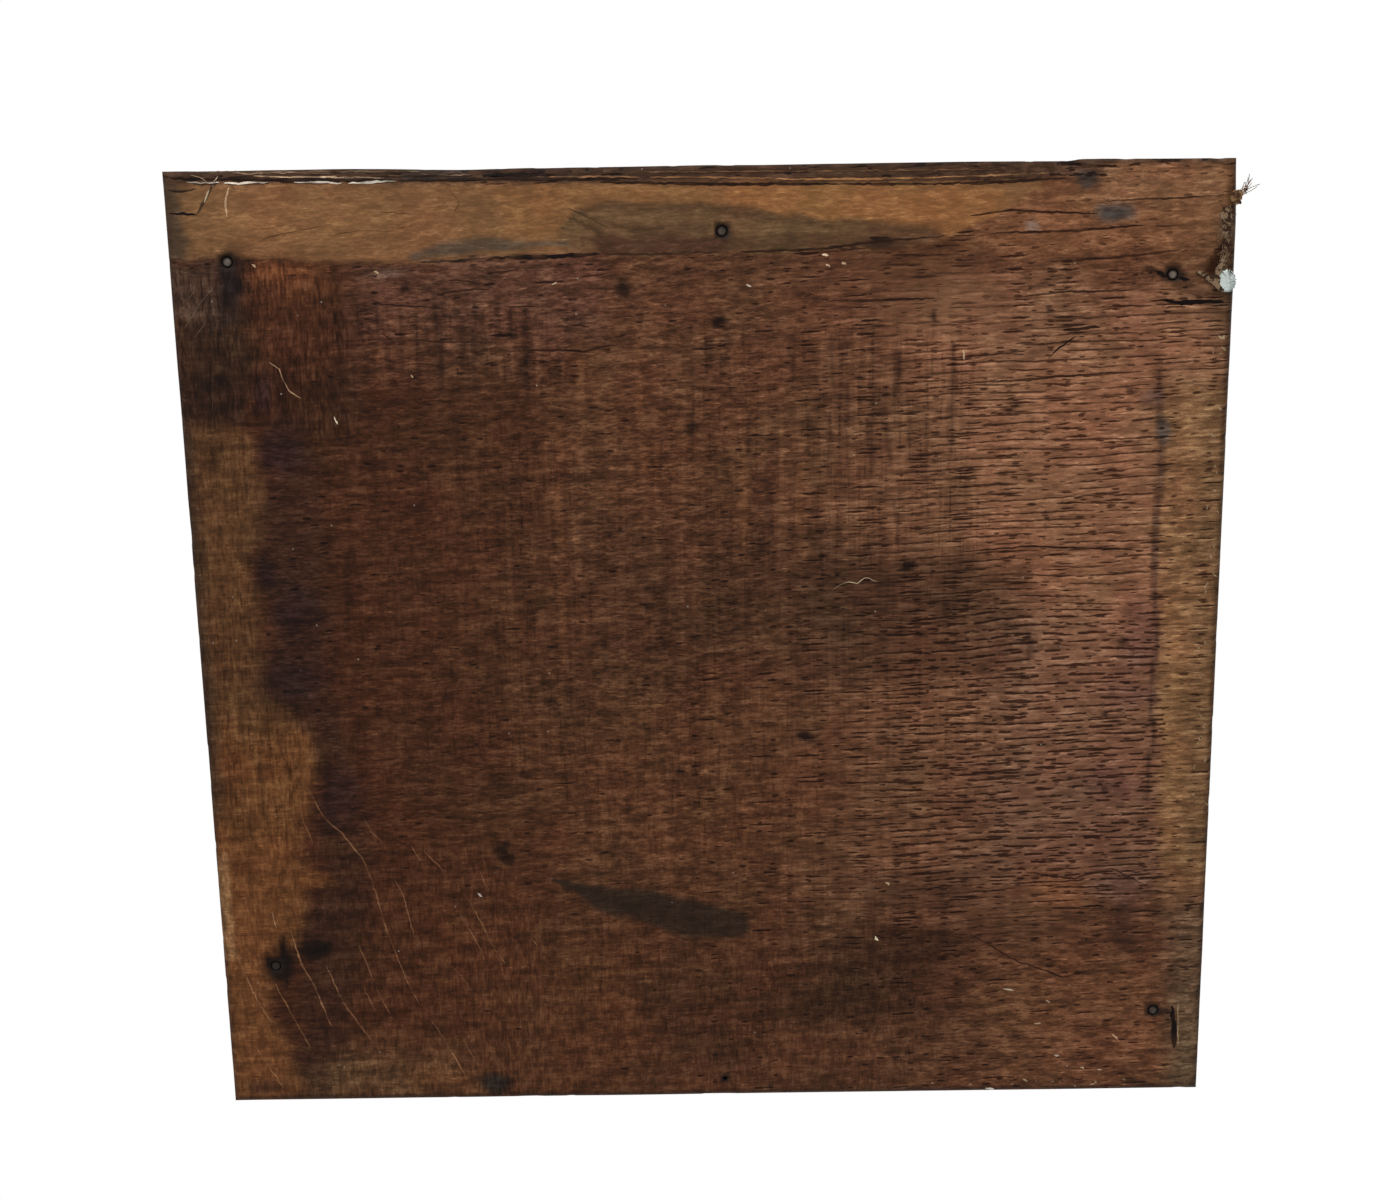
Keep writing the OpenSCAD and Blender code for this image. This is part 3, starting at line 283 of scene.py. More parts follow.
def underside_material():
    """Bare old oak: the painted stain, then streaks, saw marks, pores and rings with a painted highlight
    under each, pale fibres and dust.
    """
    s = Shader("oak_underside")
    mm = s.millimetres()
    x, plain_y, z = s.axes(mm)
    drift = s.mul(s.sub(stretched(s, x, plain_y, z, 0.006, 0.03, detail=2.0), 0.5), 2.4)
    y = s.add(s.mad(x, 0.03, plain_y), drift)
    y = s.add(s.mad(stretched(s, x, y, 0.0, 0.22, 0.9, detail=2.0), 1.1, y), z)
    stain, grain = s.attribute("stain")[0], s.attribute("grain")
    open_grain, sawn, detail = s.channels(grain[0])[:3]
    upright = grain["Alpha"]

    def grained(along, over, octaves, rough):
        return stretched(s, x, y, 0.0, along, over, detail=octaves, rough=rough)

    def square(along, over, octaves, rough):
        return stretched(s, x, plain_y, 0.0, along, over, detail=octaves, rough=rough)

    # uneven tone of the wood, brushed across the grain in places
    worn = s.ramp(open_grain, 0.25, 0.8, 1.0, 0.0)
    fine = s.mix(worn, grained(0.13, 1.2, 3.0, 0.68), grained(0.30, 1.2, 3.0, 0.66))
    fine = s.mix(upright, fine, square(1.1, 0.18, 3.0, 0.68))
    patch = s.mix(upright, grained(0.12, 0.46, 2.0, 0.6), square(0.40, 0.17, 2.0, 0.6))
    streak, block = grained(0.010, 0.40, 3.0, 0.6), grained(0.07, 0.17, 3.0, 0.62)
    grit = s.noise(mm, scale=1.8, detail=2.0, rough=0.75)
    tone = 1.0
    for value, low, high, swing in ((fine, 0.36, 0.64, 0.30), (patch, 0.42, 0.58, 0.23),
                                    (streak, 0.32, 0.68, 0.16), (block, 0.36, 0.64, 0.24),
                                    (grit, 0.32, 0.68, 0.14)):
        tone = s.mul(tone, s.ramp(value, low, high, 1 - swing, 1 + swing))
    # saw marks run across the grain and are broken by it
    bands = square(0.17, 0.008, 3.0, 0.65)
    lines = s.ramp(square(0.6, 0.035, 2.0, 0.6), 0.51, 0.62)
    cut = s.mul(s.mad(lines, 0.8, s.ramp(bands, 0.50, 0.62, 0.0, 0.6)), s.ramp(fine, 0.40, 0.60, 1.0, 0.15))
    cut = s.mul(cut, sawn)
    tone = s.mul(tone, s.mad(s.ramp(bands, 0.32, 0.50, 0.35, 0.0), sawn, 1.0))
    # open pores, denser where the grain is open, with rings, holes and pale fibres, and a painted highlight
    # under the pores and rings
    share = s.ramp(open_grain, 0.15, 1.0, 0.0, 0.42)
    long_pores = dashes(s, x, y, 0.055, 0.68, share, 0.25)
    short_pores = dashes(s, s.add(x, 57.0), y, 0.15, 0.85, s.mul(share, 0.75), 0.22)
    dots = dashes(s, s.add(x, 23.0), y, 0.17, 0.62, s.ramp(open_grain, 0.05, 0.5, 0.0, 0.16), 0.27)
    line, under = ring_lines(s, x, y, open_grain)
    holes = specks(s, mm, 0.07, 0.03, 0.055, 1)
    pores = s.most(long_pores, s.mul(short_pores, 0.85), s.mul(dots, 0.85), line, s.mul(holes, 0.8))
    # painted highlight: the same pores laid a little lower as a lighter line under each
    pore_highlight = dashes(s, x, s.sub(y, 0.55), 0.055, 0.68, share, 0.25)
    fibres = dashes(s, s.add(x, 311.0), y, 0.13, 1.2, 0.24, 0.2)
    # pale fibres together with the painted highlights under the pores and rings
    pale = s.most(s.mul(fibres, 0.9), s.mul(s.most(pore_highlight, under), 0.5))
    tone = s.mul(tone, s.mad(pale, 0.7, 1.0))
    tone = s.mad(s.sub(tone, 1.0), s.mul(detail, s.ramp(open_grain, 0.5, 0.9, 1.0, 0.68)), 1.0)
    # the stain takes all of these on
    hue = s.ramp(s.noise(mm, scale=0.03, detail=4.0, rough=0.6), 0.35, 0.65)
    colour = s.tint(stain, s.mix(hue, (1.04, 0.98, 0.98), (0.97, 1.02, 1.0)))
    colour = s.tint(colour, s.node("ShaderNodeCombineColor", {0: tone, 1: tone, 2: tone}).outputs[0])
    colour = s.shade(s.ramp(tone, 1.0, 1.7), colour, (0.96, 1.08, 1.14))
    colour = s.shade(s.mul(cut, 0.75), colour, (0.34, 0.30, 0.30))
    colour = s.shade(s.mul(s.mul(pores, 0.95), detail), colour, (0.18, 0.14, 0.125))
    dust = s.mul(specks(s, mm, 0.13, 0.028, 0.05, 0), 0.55)
    colour = s.mix(s.mul(dust, detail), colour, (0.40, 0.34, 0.27))
    height = s.sub(s.mul(fine, 0.6), s.mad(cut, 0.4, pores))
    return s.finish(Base_Color=colour, Roughness=s.ramp(block, 0.3, 0.7, 0.60, 0.74), Specular_IOR_Level=0.08,
                    Normal=s.bump(height, 0.5, 0.0004))


RING_GAP = 2.8
INK = linear(27, 25, 34)


def ink_drops(s, mm, u, v, up):
    """Ragged drops of ink, alone and in clusters, on faces that look up."""
    ragged = s.mul(s.sub(s.noise(mm, scale=0.35, detail=3.0), 0.5), 5.0)
    u, v = s.add(u, ragged), s.sub(v, ragged)
    small = s.mul(dashes(s, u, v, 0.09, 0.09, 0.3, 0.05), s.ramp(s.noise(mm, scale=0.011), 0.56, 0.62))
    drops = s.most(dashes(s, u, v, 0.022, 0.022, 0.2, 0.065), small)
    return s.mul(drops, s.more(up, 0.7))


def oak_material(name, turn, dark, light, polish, pore=0.8, dirt=0.35, wear=0.6, heart=(20.0, -70.0),
                 scuff=0.0, ink=0.0, foot=0.0):
    """Old oak: rings round the heart of the tree, pores, rubbed-in dirt, marks of use, worn arrises."""
    s = Shader(name)
    mm = s.millimetres(turn)
    x, y, z = s.axes(mm)
    drift = stretched(s, x, y, z, 0.0032, 0.006, detail=1.0)
    waver = stretched(s, x, y, z, 0.02, 0.06, detail=3.0)
    dy, dz = s.sub(y, heart[0]), s.sub(z, heart[1])
    reach = s.math("SQRT", s.mad(dy, dy, s.mul(dz, dz)))
    reach = s.mad(waver, 1.6, s.mad(drift, 26.0, reach))
    spread = s.noise(s.vector(s.mul(reach, 0.03), 0.0), detail=2.0)
    phase = s.mad(spread, 8.0, s.math("DIVIDE", reach, RING_GAP))
    step = s.math("FRACT", phase)
    early = s.most(s.ramp(step, 0.05, 0.6, 1.0, 0.0), s.ramp(step, 0.9, 1.0))
    year = s.node("ShaderNodeTexWhiteNoise", {"W": s.math("FLOOR", phase)}, noise_dimensions="1D")
    streak = stretched(s, x, y, z, 0.012, 0.35, detail=5.0, rough=0.65)
    fine = stretched(s, x, y, z, 0.12, 2.4, detail=3.0, rough=0.65)
    mottle = s.noise(mm, scale=0.018, detail=5.0, rough=0.62)
    share = s.ramp(early, 0.1, 0.9, 0.05, 0.6)
    pores = s.most(dashes(s, x, y, 0.07, 1.1, share, 0.26, z),
                   s.mul(dashes(s, s.add(x, 91.0), y, 0.2, 1.7, share, 0.3, z), 0.8))
    fleck = s.ramp(stretched(s, x, y, z, 0.10, 0.17, detail=1.0, distortion=1.2), 0.63, 0.72)
    colour = s.mix(s.mul(early, s.ramp(year.outputs["Value"], 0.0, 1.0, 0.2, 0.6)), light, dark)
    colour = s.shade(s.ramp(streak, 0.40, 0.70, 0.0, 0.55), colour, (0.62, 0.57, 0.53))
    colour = s.shade(s.ramp(fine, 0.40, 0.66, 0.0, 0.4), colour, (1.5, 1.42, 1.32))
    colour = s.mix(s.mul(fleck, 0.22), colour, s.tint(light, (1.1, 1.08, 1.05)))
    colour = s.shade(s.ramp(mottle, 0.42, 0.70, 0.0, dirt), colour, (0.46, 0.40, 0.35))
    colour = s.shade(s.mul(pores, pore), colour, (0.26, 0.21, 0.19))
    if foot:
        low = s.mul(s.ramp(z, 12.0, 30.0, foot, 0.0), s.ramp(mottle, 0.3, 0.6, 0.5, 1.0))
        colour = s.shade(low, colour, (0.36, 0.31, 0.28))
    if scuff or ink:
        u, v, up = face_plane(s, turn, x, y, z)
    if scuff:
        colour = s.shade(s.mul(scratches(s, u, v, -1.1, 57.0), scuff), colour, (0.34, 0.3, 0.28))
        bare = s.tint(light, (1.3, 1.25, 1.15))
        colour = s.mix(s.mul(scratches(s, u, v, 0.35, 13.0), scuff), colour, bare)
    if ink:
        colour = s.mix(s.mul(ink_drops(s, mm, u, v, up), ink), colour, INK)
    uneven = s.ramp(s.noise(mm, scale=0.14, detail=4.0, rough=0.65), 0.38, 0.62, 0.15, 1.0)
    rub = s.mul(edge_mask(s, 0.0045 if scuff > 0.5 else 0.002), uneven)
    colour = s.mix(s.mul(rub, wear), colour, s.tint(light, (1.8, 1.85, 1.95)))
    height = s.sub(s.mul(fine, 0.3), pores)
    rough = s.add(s.ramp(mottle, 0.3, 0.7, polish, polish + 0.18), s.mul(pores, 0.15))
    return s.finish(Base_Color=colour, Roughness=rough, Specular_IOR_Level=0.11,
                    Normal=s.bump(height, 0.35, 0.0002))


def metal_material(name, bright, dull, low, high, spots=0.4):
    """Old metal: dull on its faces, bright where it is rubbed, with spots and fine wear scratches."""
    s = Shader(name)
    mm = s.millimetres()
    cloud = s.noise(mm, scale=0.07, detail=5.0, rough=0.6)
    pit = s.noise(mm, scale=2.2, detail=3.0, rough=0.6)
    rub = stretched(s, *s.axes(mm), 0.35, 5.0, detail=2.0)
    tarnish = s.ramp(s.mad(pit, 0.3, cloud), 0.35, 1.0)
    colour = s.mix(tarnish, bright, dull)
    colour = s.mix(s.ramp(pit, 0.58, 0.74, 0.0, spots), colour, s.tint(dull, (0.5, 0.45, 0.4)))
    worn = s.mul(edge_mask(s, 0.0006), s.ramp(cloud, 0.3, 0.6, 0.4, 0.9))
    colour = s.mix(worn, colour, s.tint(bright, (1.15, 1.15, 1.15)))
    rough = s.mad(rub, 0.12, s.ramp(tarnish, 0.0, 1.0, low, high))
    return s.finish(Base_Color=colour, Metallic=1.0, Roughness=rough,
                    Normal=s.bump(s.add(pit, s.mul(rub, 0.3)), 0.08, 0.0002))


def nail_material():
    """Rusted nail heads of the base, each with its own amount of bare iron in the middle."""
    s = Shader("rusty_nail")
    mm = s.millimetres()
    x, y, _ = s.axes(mm)
    flat = s.vector(x, y)
    rust = s.noise(mm, scale=1.1, detail=4.0, rough=0.65)
    bare = 0.0
    for nail, amount in zip(NAILS, NAIL_BARE):
        gap = s.node("ShaderNodeVectorMath", {0: flat, 1: (*nail, 0)}, operation="DISTANCE").outputs["Value"]
        bare = s.add(s.ramp(gap, 0.6, 1.6, amount, 0.0), bare)
    bare = s.mul(bare, s.ramp(rust, 0.3, 0.65, 1.0, 0.4))
    colour = s.mix(bare, linear(28, 20, 16), linear(126, 114, 102))
    return s.finish(Base_Color=colour, Metallic=s.mul(bare, 0.5), Roughness=s.ramp(rust, 0.3, 0.7, 0.6, 0.8),
                    Specular_IOR_Level=0.15, Normal=s.bump(rust, 0.4, 0.0003))


def glass_material():
    s = Shader("old_glass")
    mm = s.millimetres()
    ripple = s.noise(mm, scale=0.09, detail=2.0)
    grime = s.noise(mm, scale=0.5, detail=4.0, rough=0.6)
    colour = s.mix(s.ramp(grime, 0.45, 0.75), (0.86, 0.94, 0.91), (0.66, 0.74, 0.70))
    return s.finish(Base_Color=colour, Roughness=s.ramp(grime, 0.5, 0.8, 0.03, 0.16), IOR=1.5,
                    Transmission_Weight=0.85, Normal=s.bump(ripple, 0.25, 0.0006))


# Worn base board: an uneven outline, a soft arris, nail pits and a painted surface (millimetres)
CORNERS = np.array(((-189.95, -176.45), (189.3, -176.3), (189.98, 176.45), (-188.8, 176.1)))
BOARD_W, BOARD_D, TOP_Z, ROUND = 379, 352, 12.0, 4
NX, NY = 270, 250
NAILS = ((-169.0, -145.0), (7.0, -153.0), (167.5, -135.5), (-169.0, 120.0), (171.5, 143.5))
NAIL_BARE = (0.75, 0.4, 1.0, 0.1, 0.55)
LOST_NAIL = (4.5, 169.5)
# Heights on the underside: of its middle, its unevenness, the worn arris and the worn front strip
LEVEL, UNEVEN, ARRIS, STRIP = 0.25, 0.12, 0.7, 0.55
ARRIS_REACH = 0.8


def edge_wear(t, seed):
    """How far an edge is worn back, in millimetres, along its length t."""
    wave = 0.5 * value_noise(t * 7, t * 0, seed) + 0.35 * value_noise(t * 31, t * 0, seed + 1)
    nick = smooth(0.80, 0.95, value_noise(t * 57, t * 0, seed + 2)) * 0.8
    return wave + nick


def surface_height(x, y, u, v):
    """Height of the underside: nearly flat, worn away at the arris and along the front strip."""
    low = layered(x / 60 + 9, y / 60 + 5, 11, 3)
    edge = np.minimum(np.minimum(u, 1 - u) * BOARD_W, np.minimum(v, 1 - v) * BOARD_D)
    arris = ARRIS * np.exp(-((edge / ARRIS_REACH) ** 2))
    start, stop = smooth(-181, -178, x), 1 - smooth(136, 142, x)
    wavy = v * BOARD_D + 0.6 * (value_noise(x / 9, x * 0, 77) - 0.5)
    strip = STRIP * (1 - smooth(3.6, 5.6, wavy)) * start * stop
    return LEVEL + UNEVEN * low + arris + strip


# Edges of the board in frame pixels: where each starts, and how far it leans for each pixel
LEFT_AT, LEFT_LEAN = 149.0, 0.08016
RIGHT_AT, RIGHT_LEAN = 1243.4, 0.0438
FRONT_AT, FRONT_LEAN = 173.8, 0.0116
BACK_AT, BACK_LEAN = 1101.1, 0.0119
# How far outlines of stains wander, in frame pixels: those of broad areas and those of small marks
BROAD, FINE = 46, 12
# Light reflected on top of the wood, the darkest its own colour gets, and how much it is lightened
SHEEN, DARKEST, LIFT = 0.0035, 0.0012, 1.12


class Paint:
    """Colours and grain amounts of the underside, laid on in frame pixels."""

    def __init__(self, x, y):
        self.px, self.py = to_frame(x, y)
        n = layered(self.px / BROAD, self.py / BROAD, 21, 4) - 0.5
        m = layered(self.px / BROAD + 40, self.py / BROAD + 17, 31, 4) - 0.5
        self.wx, self.wy = self.px + BROAD * n, self.py + BROAD * m
        self.fx, self.fy = self.px + FINE * n, self.py + FINE * m
        coarse = layered(self.px / 34 + 7, self.py / 9, 36, 4)
        self.ragged = coarse + layered(self.px / 11, self.py / 11 + 3, 45, 3) - 1.0
        self.from_left = self.px - LEFT_LEAN * self.py - LEFT_AT
        self.colour = np.tile(self.pigment(80, 51, 35), (len(x), 1))

    @staticmethod
    def pigment(r, g, b):
        """Colour of the wood itself for a colour as seen, which has a little light reflected on top."""
        return np.maximum(linear(r, g, b) - SHEEN, DARKEST) * LIFT

    def lay(self, mask, rgb):
        mask = np.clip(mask, 0, 1)[:, None]
        self.colour = self.colour * (1 - mask) + self.pigment(*rgb) * mask

    def blot(self, cx, cy, rx, ry, soft):
        d = np.hypot((self.fx - cx) / rx, (self.fy - cy) / ry) + 0.9 * soft * self.ragged
        return 1 - smooth(1 - soft, 1 + soft, d)

    def area(self, x0, x1, y0, y1, soft, fine=False):
        x, y = (self.fx, self.fy) if fine else (self.wx, self.wy)
        x, y = x + soft * self.ragged, y + soft * self.ragged
        return (smooth(x0 - soft, x0 + soft, x) * (1 - smooth(x1 - soft, x1 + soft, x))
                * smooth(y0 - soft, y0 + soft, y) * (1 - smooth(y1 - soft, y1 + soft, y)))

    def trail(self, points, soft=0.5, ragged=0.6):
        """Mask along a path of frame points, each with its half width in pixels."""
        best = np.full(len(self.px), 1e9)
        for (x0, y0, w0), (x1, y1, w1) in zip(points, points[1:]):
            dx, dy = x1 - x0, y1 - y0
            t = np.clip(((self.fx - x0) * dx + (self.fy - y0) * dy) / (dx * dx + dy * dy), 0, 1)
            d = np.hypot(self.fx - x0 - t * dx, self.fy - y0 - t * dy) / (w0 + (w1 - w0) * t)
            best = np.minimum(best, d)
        return 1 - smooth(1 - soft, 1 + soft, best + ragged * soft * self.ragged)

    def areas(self, *rows, over=1.0, fine=False):
        """Lays areas: left, right, front, back, softness, strength and colour."""
        for x0, x1, y0, y1, soft, share, *rgb in rows:
            self.lay(over * self.area(x0, x1, y0, y1, soft, fine) * share, rgb)

    def blots(self, *rows, over=1.0):
        """Lays blots: middle, half sizes, softness, strength and colour."""
        for cx, cy, rx, ry, soft, share, *rgb in rows:
            self.lay(over * self.blot(cx, cy, rx, ry, soft) * share, rgb)

    def spots(self, places, soft, share, rgb):
        """Lays blots of one colour: middles and half sizes."""
        for spot in places:
            self.lay(self.blot(*spot, soft) * share, rgb)

    def sum_of(self, *rows):
        """Sum of areas: left, right, front, back, softness and amount."""
        return sum(self.area(*bounds) * amount for *bounds, amount in rows)


def paint_boards(p):
    """Broad tone of the boards: dark at the left, reddish and lighter towards the right."""
    p.lay(1 - smooth(330, 640, p.wx), (66, 39, 27))
    p.lay(smooth(700, 1010, p.wx) * smooth(240, 330, p.wy), (131, 90, 66))
    p.lay(smooth(690, 820, p.wy) * smooth(860, 1000, p.wx) * 0.9, (103, 70, 52))
    p.areas((780, 980, 700, 860, 40, 0.45, 84, 55, 39), (600, 900, 262, 410, 40, 0.7, 92, 59, 42),
            (350, 600, 262, 345, 16, 0.85, 86, 56, 43), (560, 960, 390, 560, 60, 0.4, 92, 60, 42),
            (985, 1150, 300, 350, 30, 0.35, 90, 58, 45), (540, 830, 520, 700, 50, 0.5, 72, 47, 34),
            (560, 840, 690, 870, 45, 0.7, 89, 57, 39), (795, 1030, 558, 690, 20, 0.8, 77, 50, 36))
    p.lay(smooth(850, 960, p.wy) * smooth(520, 640, p.wx) * 0.85, (83, 52, 36))
    p.areas((560, 790, 950, 1060, 40, 0.6, 77, 48, 32), (985, 1165, 960, 1085, 30, 0.85, 102, 66, 46))
    p.blots((870, 600, 90, 36, 0.6, 0.5, 64, 43, 32), (915, 890, 60, 26, 0.6, 0.6, 68, 45, 33),
            (915, 945, 52, 20, 0.8, 0.8, 52, 34, 25), (880, 970, 80, 44, 0.8, 0.75, 57, 37, 27),
            (832, 1000, 58, 24, 0.8, 0.75, 54, 36, 26), (1056, 889, 27, 15, 0.9, 0.55, 128, 82, 53),
            (1122, 925, 13, 24, 0.6, 0.75, 66, 42, 34))
    p.areas((985, 1150, 620, 870, 30, 0.5, 118, 83, 65))
    reddish = ((1130, 695, 24, 14), (1108, 786, 34, 14), (1120, 884, 30, 16), (1140, 640, 20, 40))
    p.spots(reddish, 0.7, 0.5, (98, 66, 58))


def paint_front_band(p):
    """Lighter band behind the front edge, orange towards the right, with olive staining in a tide line."""
    back_y = np.interp(p.px, (160, 250, 420, 600, 720, 860, 940, 1000, 1040, 1075),
                       (258, 261, 262, 255, 252, 250, 240, 212, 186, 140))
    p.band = 1 - smooth(-3, 3, p.fy - back_y + 3 * p.ragged)
    p.lay(smooth(940, 1010, p.wx) * (1 - smooth(235, 275, p.wy)), (115, 77, 53))
    p.lay(p.band, (117, 82, 54))
    p.areas((500, 720, 184, 240, 8, 0.8, 124, 86, 54), (725, 1000, 184, 240, 12, 0.85, 136, 93, 57),
            over=p.band, fine=True)
    tide_y = np.interp(p.px, (552, 562, 578, 600, 640, 690, 740, 790, 830, 880, 930, 952),
                       (246, 226, 212, 204, 203, 206, 209, 219, 224, 221, 226, 245))
    tide = p.fy + 3 * p.ragged - tide_y
    inside = p.band * smooth(552, 564, p.fx) * (1 - smooth(925, 952, p.fx))
    p.lay(inside * smooth(-3, 3, tide) * 0.95, (99, 74, 51))
    p.lay(inside * (1 - smooth(1.5, 6, np.abs(tide - 1))) * 0.6, (76, 56, 39))
    p.areas((628, 708, 222, 242, 5, 0.7, 78, 56, 40), (596, 728, 236, 262, 4, 0.9, 72, 48, 36),
            (720, 905, 236, 262, 4, 0.75, 76, 53, 37), (868, 940, 226, 262, 5, 0.7, 82, 57, 41),
            over=p.band, fine=True)
    hook = ((566, 216, 1.6), (584, 226, 2), (602, 234, 2.2), (596, 240, 1.8), (582, 242, 2), (581, 252, 1.6))
    for line in (hook, ((574, 212, 1.4), (600, 222, 2), (634, 228, 2.4), (660, 226, 1.6)),
                 ((604, 240, 2), (612, 250, 3.5), (600, 254, 2)),
                 ((700, 206, 1.5), (740, 216, 2), (788, 224, 2.2), (836, 229, 1.5))):
        p.lay(p.band * p.trail(line, 0.5, 0.8) * 0.6, (62, 44, 31))
    p.blots((881, 242, 14, 7, 0.5, 0.8, 46, 33, 25), (300, 222, 90, 14, 0.7, 0.5, 134, 95, 62), over=p.band)
    grey = p.trail(((412, 256, 3), (440, 251, 7), (475, 247, 8), (520, 247, 5), (570, 243, 2)))
    p.lay(p.band * grey * 0.8, (74, 64, 54))
    p.lay(p.band * (1 - smooth(8, 26, p.from_left + 9 * p.ragged)) * 0.95, (68, 54, 42))
    p.blots((388, 273, 15, 3.5, 0.6, 0.6, 116, 92, 78))


def paint_left(p):
    """Left side: dark upper part, orange lower band, purple-brown column beside it."""
    p.areas((100, 248, 262, 425, 9, 0.97, 56, 37, 27), fine=True)
    p.blots((196, 305, 18, 30, 0.8, 0.4, 72, 51, 40))
    p.areas((250, 345, 355, 485, 18, 0.6, 49, 30, 21), (186, 248, 330, 438, 14, 0.45, 44, 28, 21),
            (165, 225, 265, 328, 10, 0.35, 84, 62, 52), (345, 530, 385, 440, 22, 0.5, 60, 36, 25),
            (350, 530, 318, 378, 14, 0.4, 88, 57, 41))
    p.areas((330, 362, 268, 420, 8, 0.5, 52, 33, 25), fine=True)
    p.blots((295, 288, 46, 22, 0.8, 0.5, 86, 52, 33), (280, 274, 36, 11, 0.6, 0.65, 104, 63, 39))
    left_x = np.interp(p.py, (410, 440, 500, 560, 620, 660, 700, 745, 790, 850, 910, 960, 1000, 1060, 1100),
                       (225, 252, 262, 252, 262, 262, 285, 322, 312, 300, 305, 285, 262, 290, 320))
    p.left = (1 - smooth(-12, 12, p.fx - left_x + 14 * p.ragged)) * smooth(412, 440, p.fy)
    p.lay(p.left, (81, 54, 35))
    p.areas((176, 246, 380, 427, 7, 0.55, 42, 27, 22), fine=True)
    p.lay(p.left * smooth(690, 760, p.wy), (101, 64, 39))
    outer = (1 - smooth(4, 17, p.from_left + 9 * p.ragged)) * (1 - smooth(800, 850, p.wy))
    p.lay(p.left * outer * 0.7, (54, 41, 31))
    dark, pale = (52, 36, 24), (112, 78, 50)
    for cx, y0, y1, rgb in ((228, 432, 520, dark), (234, 540, 690, dark), (243, 470, 560, dark),
                            (219, 520, 700, dark), (250, 560, 640, dark), (238, 690, 760, dark),
                            (224, 450, 560, pale), (239, 560, 660, pale), (229, 600, 740, pale),
                            (252, 700, 790, pale), (262, 740, 850, dark), (246, 780, 900, dark)):
        streak = p.trail(((cx, y0, 1.2), (cx + 4, (y0 + y1) / 2, 2.2), (cx + 7, y1, 1.2)), 0.6, 0.8)
        p.lay(p.left * streak * 0.5, rgb)
    p.blots((232, 560, 26, 110, 0.6, 0.6, 90, 61, 39), over=p.left)
    column = ((286, 436, 24), (296, 500, 30), (292, 570, 34), (298, 640, 32), (302, 690, 30), (326, 735, 16),
              (345, 800, 24), (350, 860, 28), (330, 960, 26), (325, 1030, 26), (320, 1085, 20))
    p.lay(p.trail(column) * 0.7, (52, 33, 26))
    purple = ((281, 456, 22, 20), (264, 572, 10, 16), (292, 610, 22, 26), (290, 680, 30, 20),
              (338, 800, 18, 26), (262, 395, 8, 20))
    p.spots(purple, 0.6, 0.8, (42, 28, 26))


def paint_back(p):
    """Left and middle of the back: orange and olive patches, dark spots and a chip in the left edge."""
    p.areas((365, 560, 820, 1030, 40, 0.5, 72, 43, 29))
    p.blots((212, 461, 9, 10, 0.7, 0.7, 56, 38, 24), (312, 880, 16, 9, 0.6, 0.7, 104, 65, 38),
            (355, 1074, 34, 15, 0.6, 0.75, 92, 66, 46))
    p.areas((345, 480, 1035, 1200, 18, 0.6, 88, 58, 39))
    p.blots((385, 1078, 52, 20, 0.9, 0.45, 98, 70, 48))
    p.areas((640, 770, 955, 1060, 30, 0.5, 60, 38, 28), (420, 520, 900, 1000, 30, 0.4, 84, 50, 33),
            (540, 640, 950, 1050, 30, 0.35, 86, 52, 33), (800, 905, 1050, 1200, 20, 0.3, 62, 41, 29),
            (480, 620, 985, 1200, 30, 0.6, 83, 52, 35))
    p.blots((440, 1080, 30, 12, 0.6, 0.6, 98, 62, 40))
    round_spots = ((500, 849, 8), (509, 858, 7), (716, 320, 8), (549, 700, 6), (908, 567, 7), (810, 735, 8),
                   (500, 1085, 12))
    p.spots(((x, y, r, r * 0.8) for x, y, r in round_spots), 0.5, 0.9, (28, 19, 16))
    p.blots((262, 1086, 22, 8, 0.6, 0.6, 58, 40, 32), (494, 1083, 15, 9, 0.4, 0.9, 48, 38, 33))
    chip = 1 - smooth(-1.5, 1.5, p.from_left - 11 + 5 * p.ragged)
    p.lay(chip * p.area(0, 300, 858, 962, 2, True), (136, 99, 66))


def paint_right(p):
    """Right edge band and its dark upright line."""
    p.edge = smooth(1150, 1166, p.fx + 4 * p.ragged) * smooth(360, 420, p.wy) * (1 - smooth(860, 940, p.wy))
    p.lay(p.edge * 0.85, (129, 92, 63))
    p.blots((1172, 730, 13, 120, 0.6, 0.6, 138, 98, 66), over=p.edge)
    outer = smooth(1186, 1206, p.fx + RIGHT_LEAN * (p.fy - 560) + 6 * p.ragged)
    p.lay(p.edge * outer * 0.4, (96, 72, 50))
    p.lay(smooth(1150, 1185, p.fx) * smooth(870, 930, p.wy) * 0.75, (100, 78, 58))
    line = ((1160, 372, 3), (1162, 440, 5), (1158, 520, 3.5), (1156, 600, 3), (1152, 700, 2.5),
            (1146, 800, 2))
    p.lay(p.trail(line) * 0.7, (70, 48, 40))
    p.blots((1153, 398, 12, 9, 0.6, 0.6, 84, 62, 56), (1166, 432, 8, 12, 0.5, 0.8, 88, 76, 70))
    corner = smooth(1195, 1230, p.fx + 10 * p.ragged) * (1 - smooth(280, 420, p.wy)) * smooth(190, 230, p.wy)
    p.lay(corner * 0.7, (72, 52, 38))


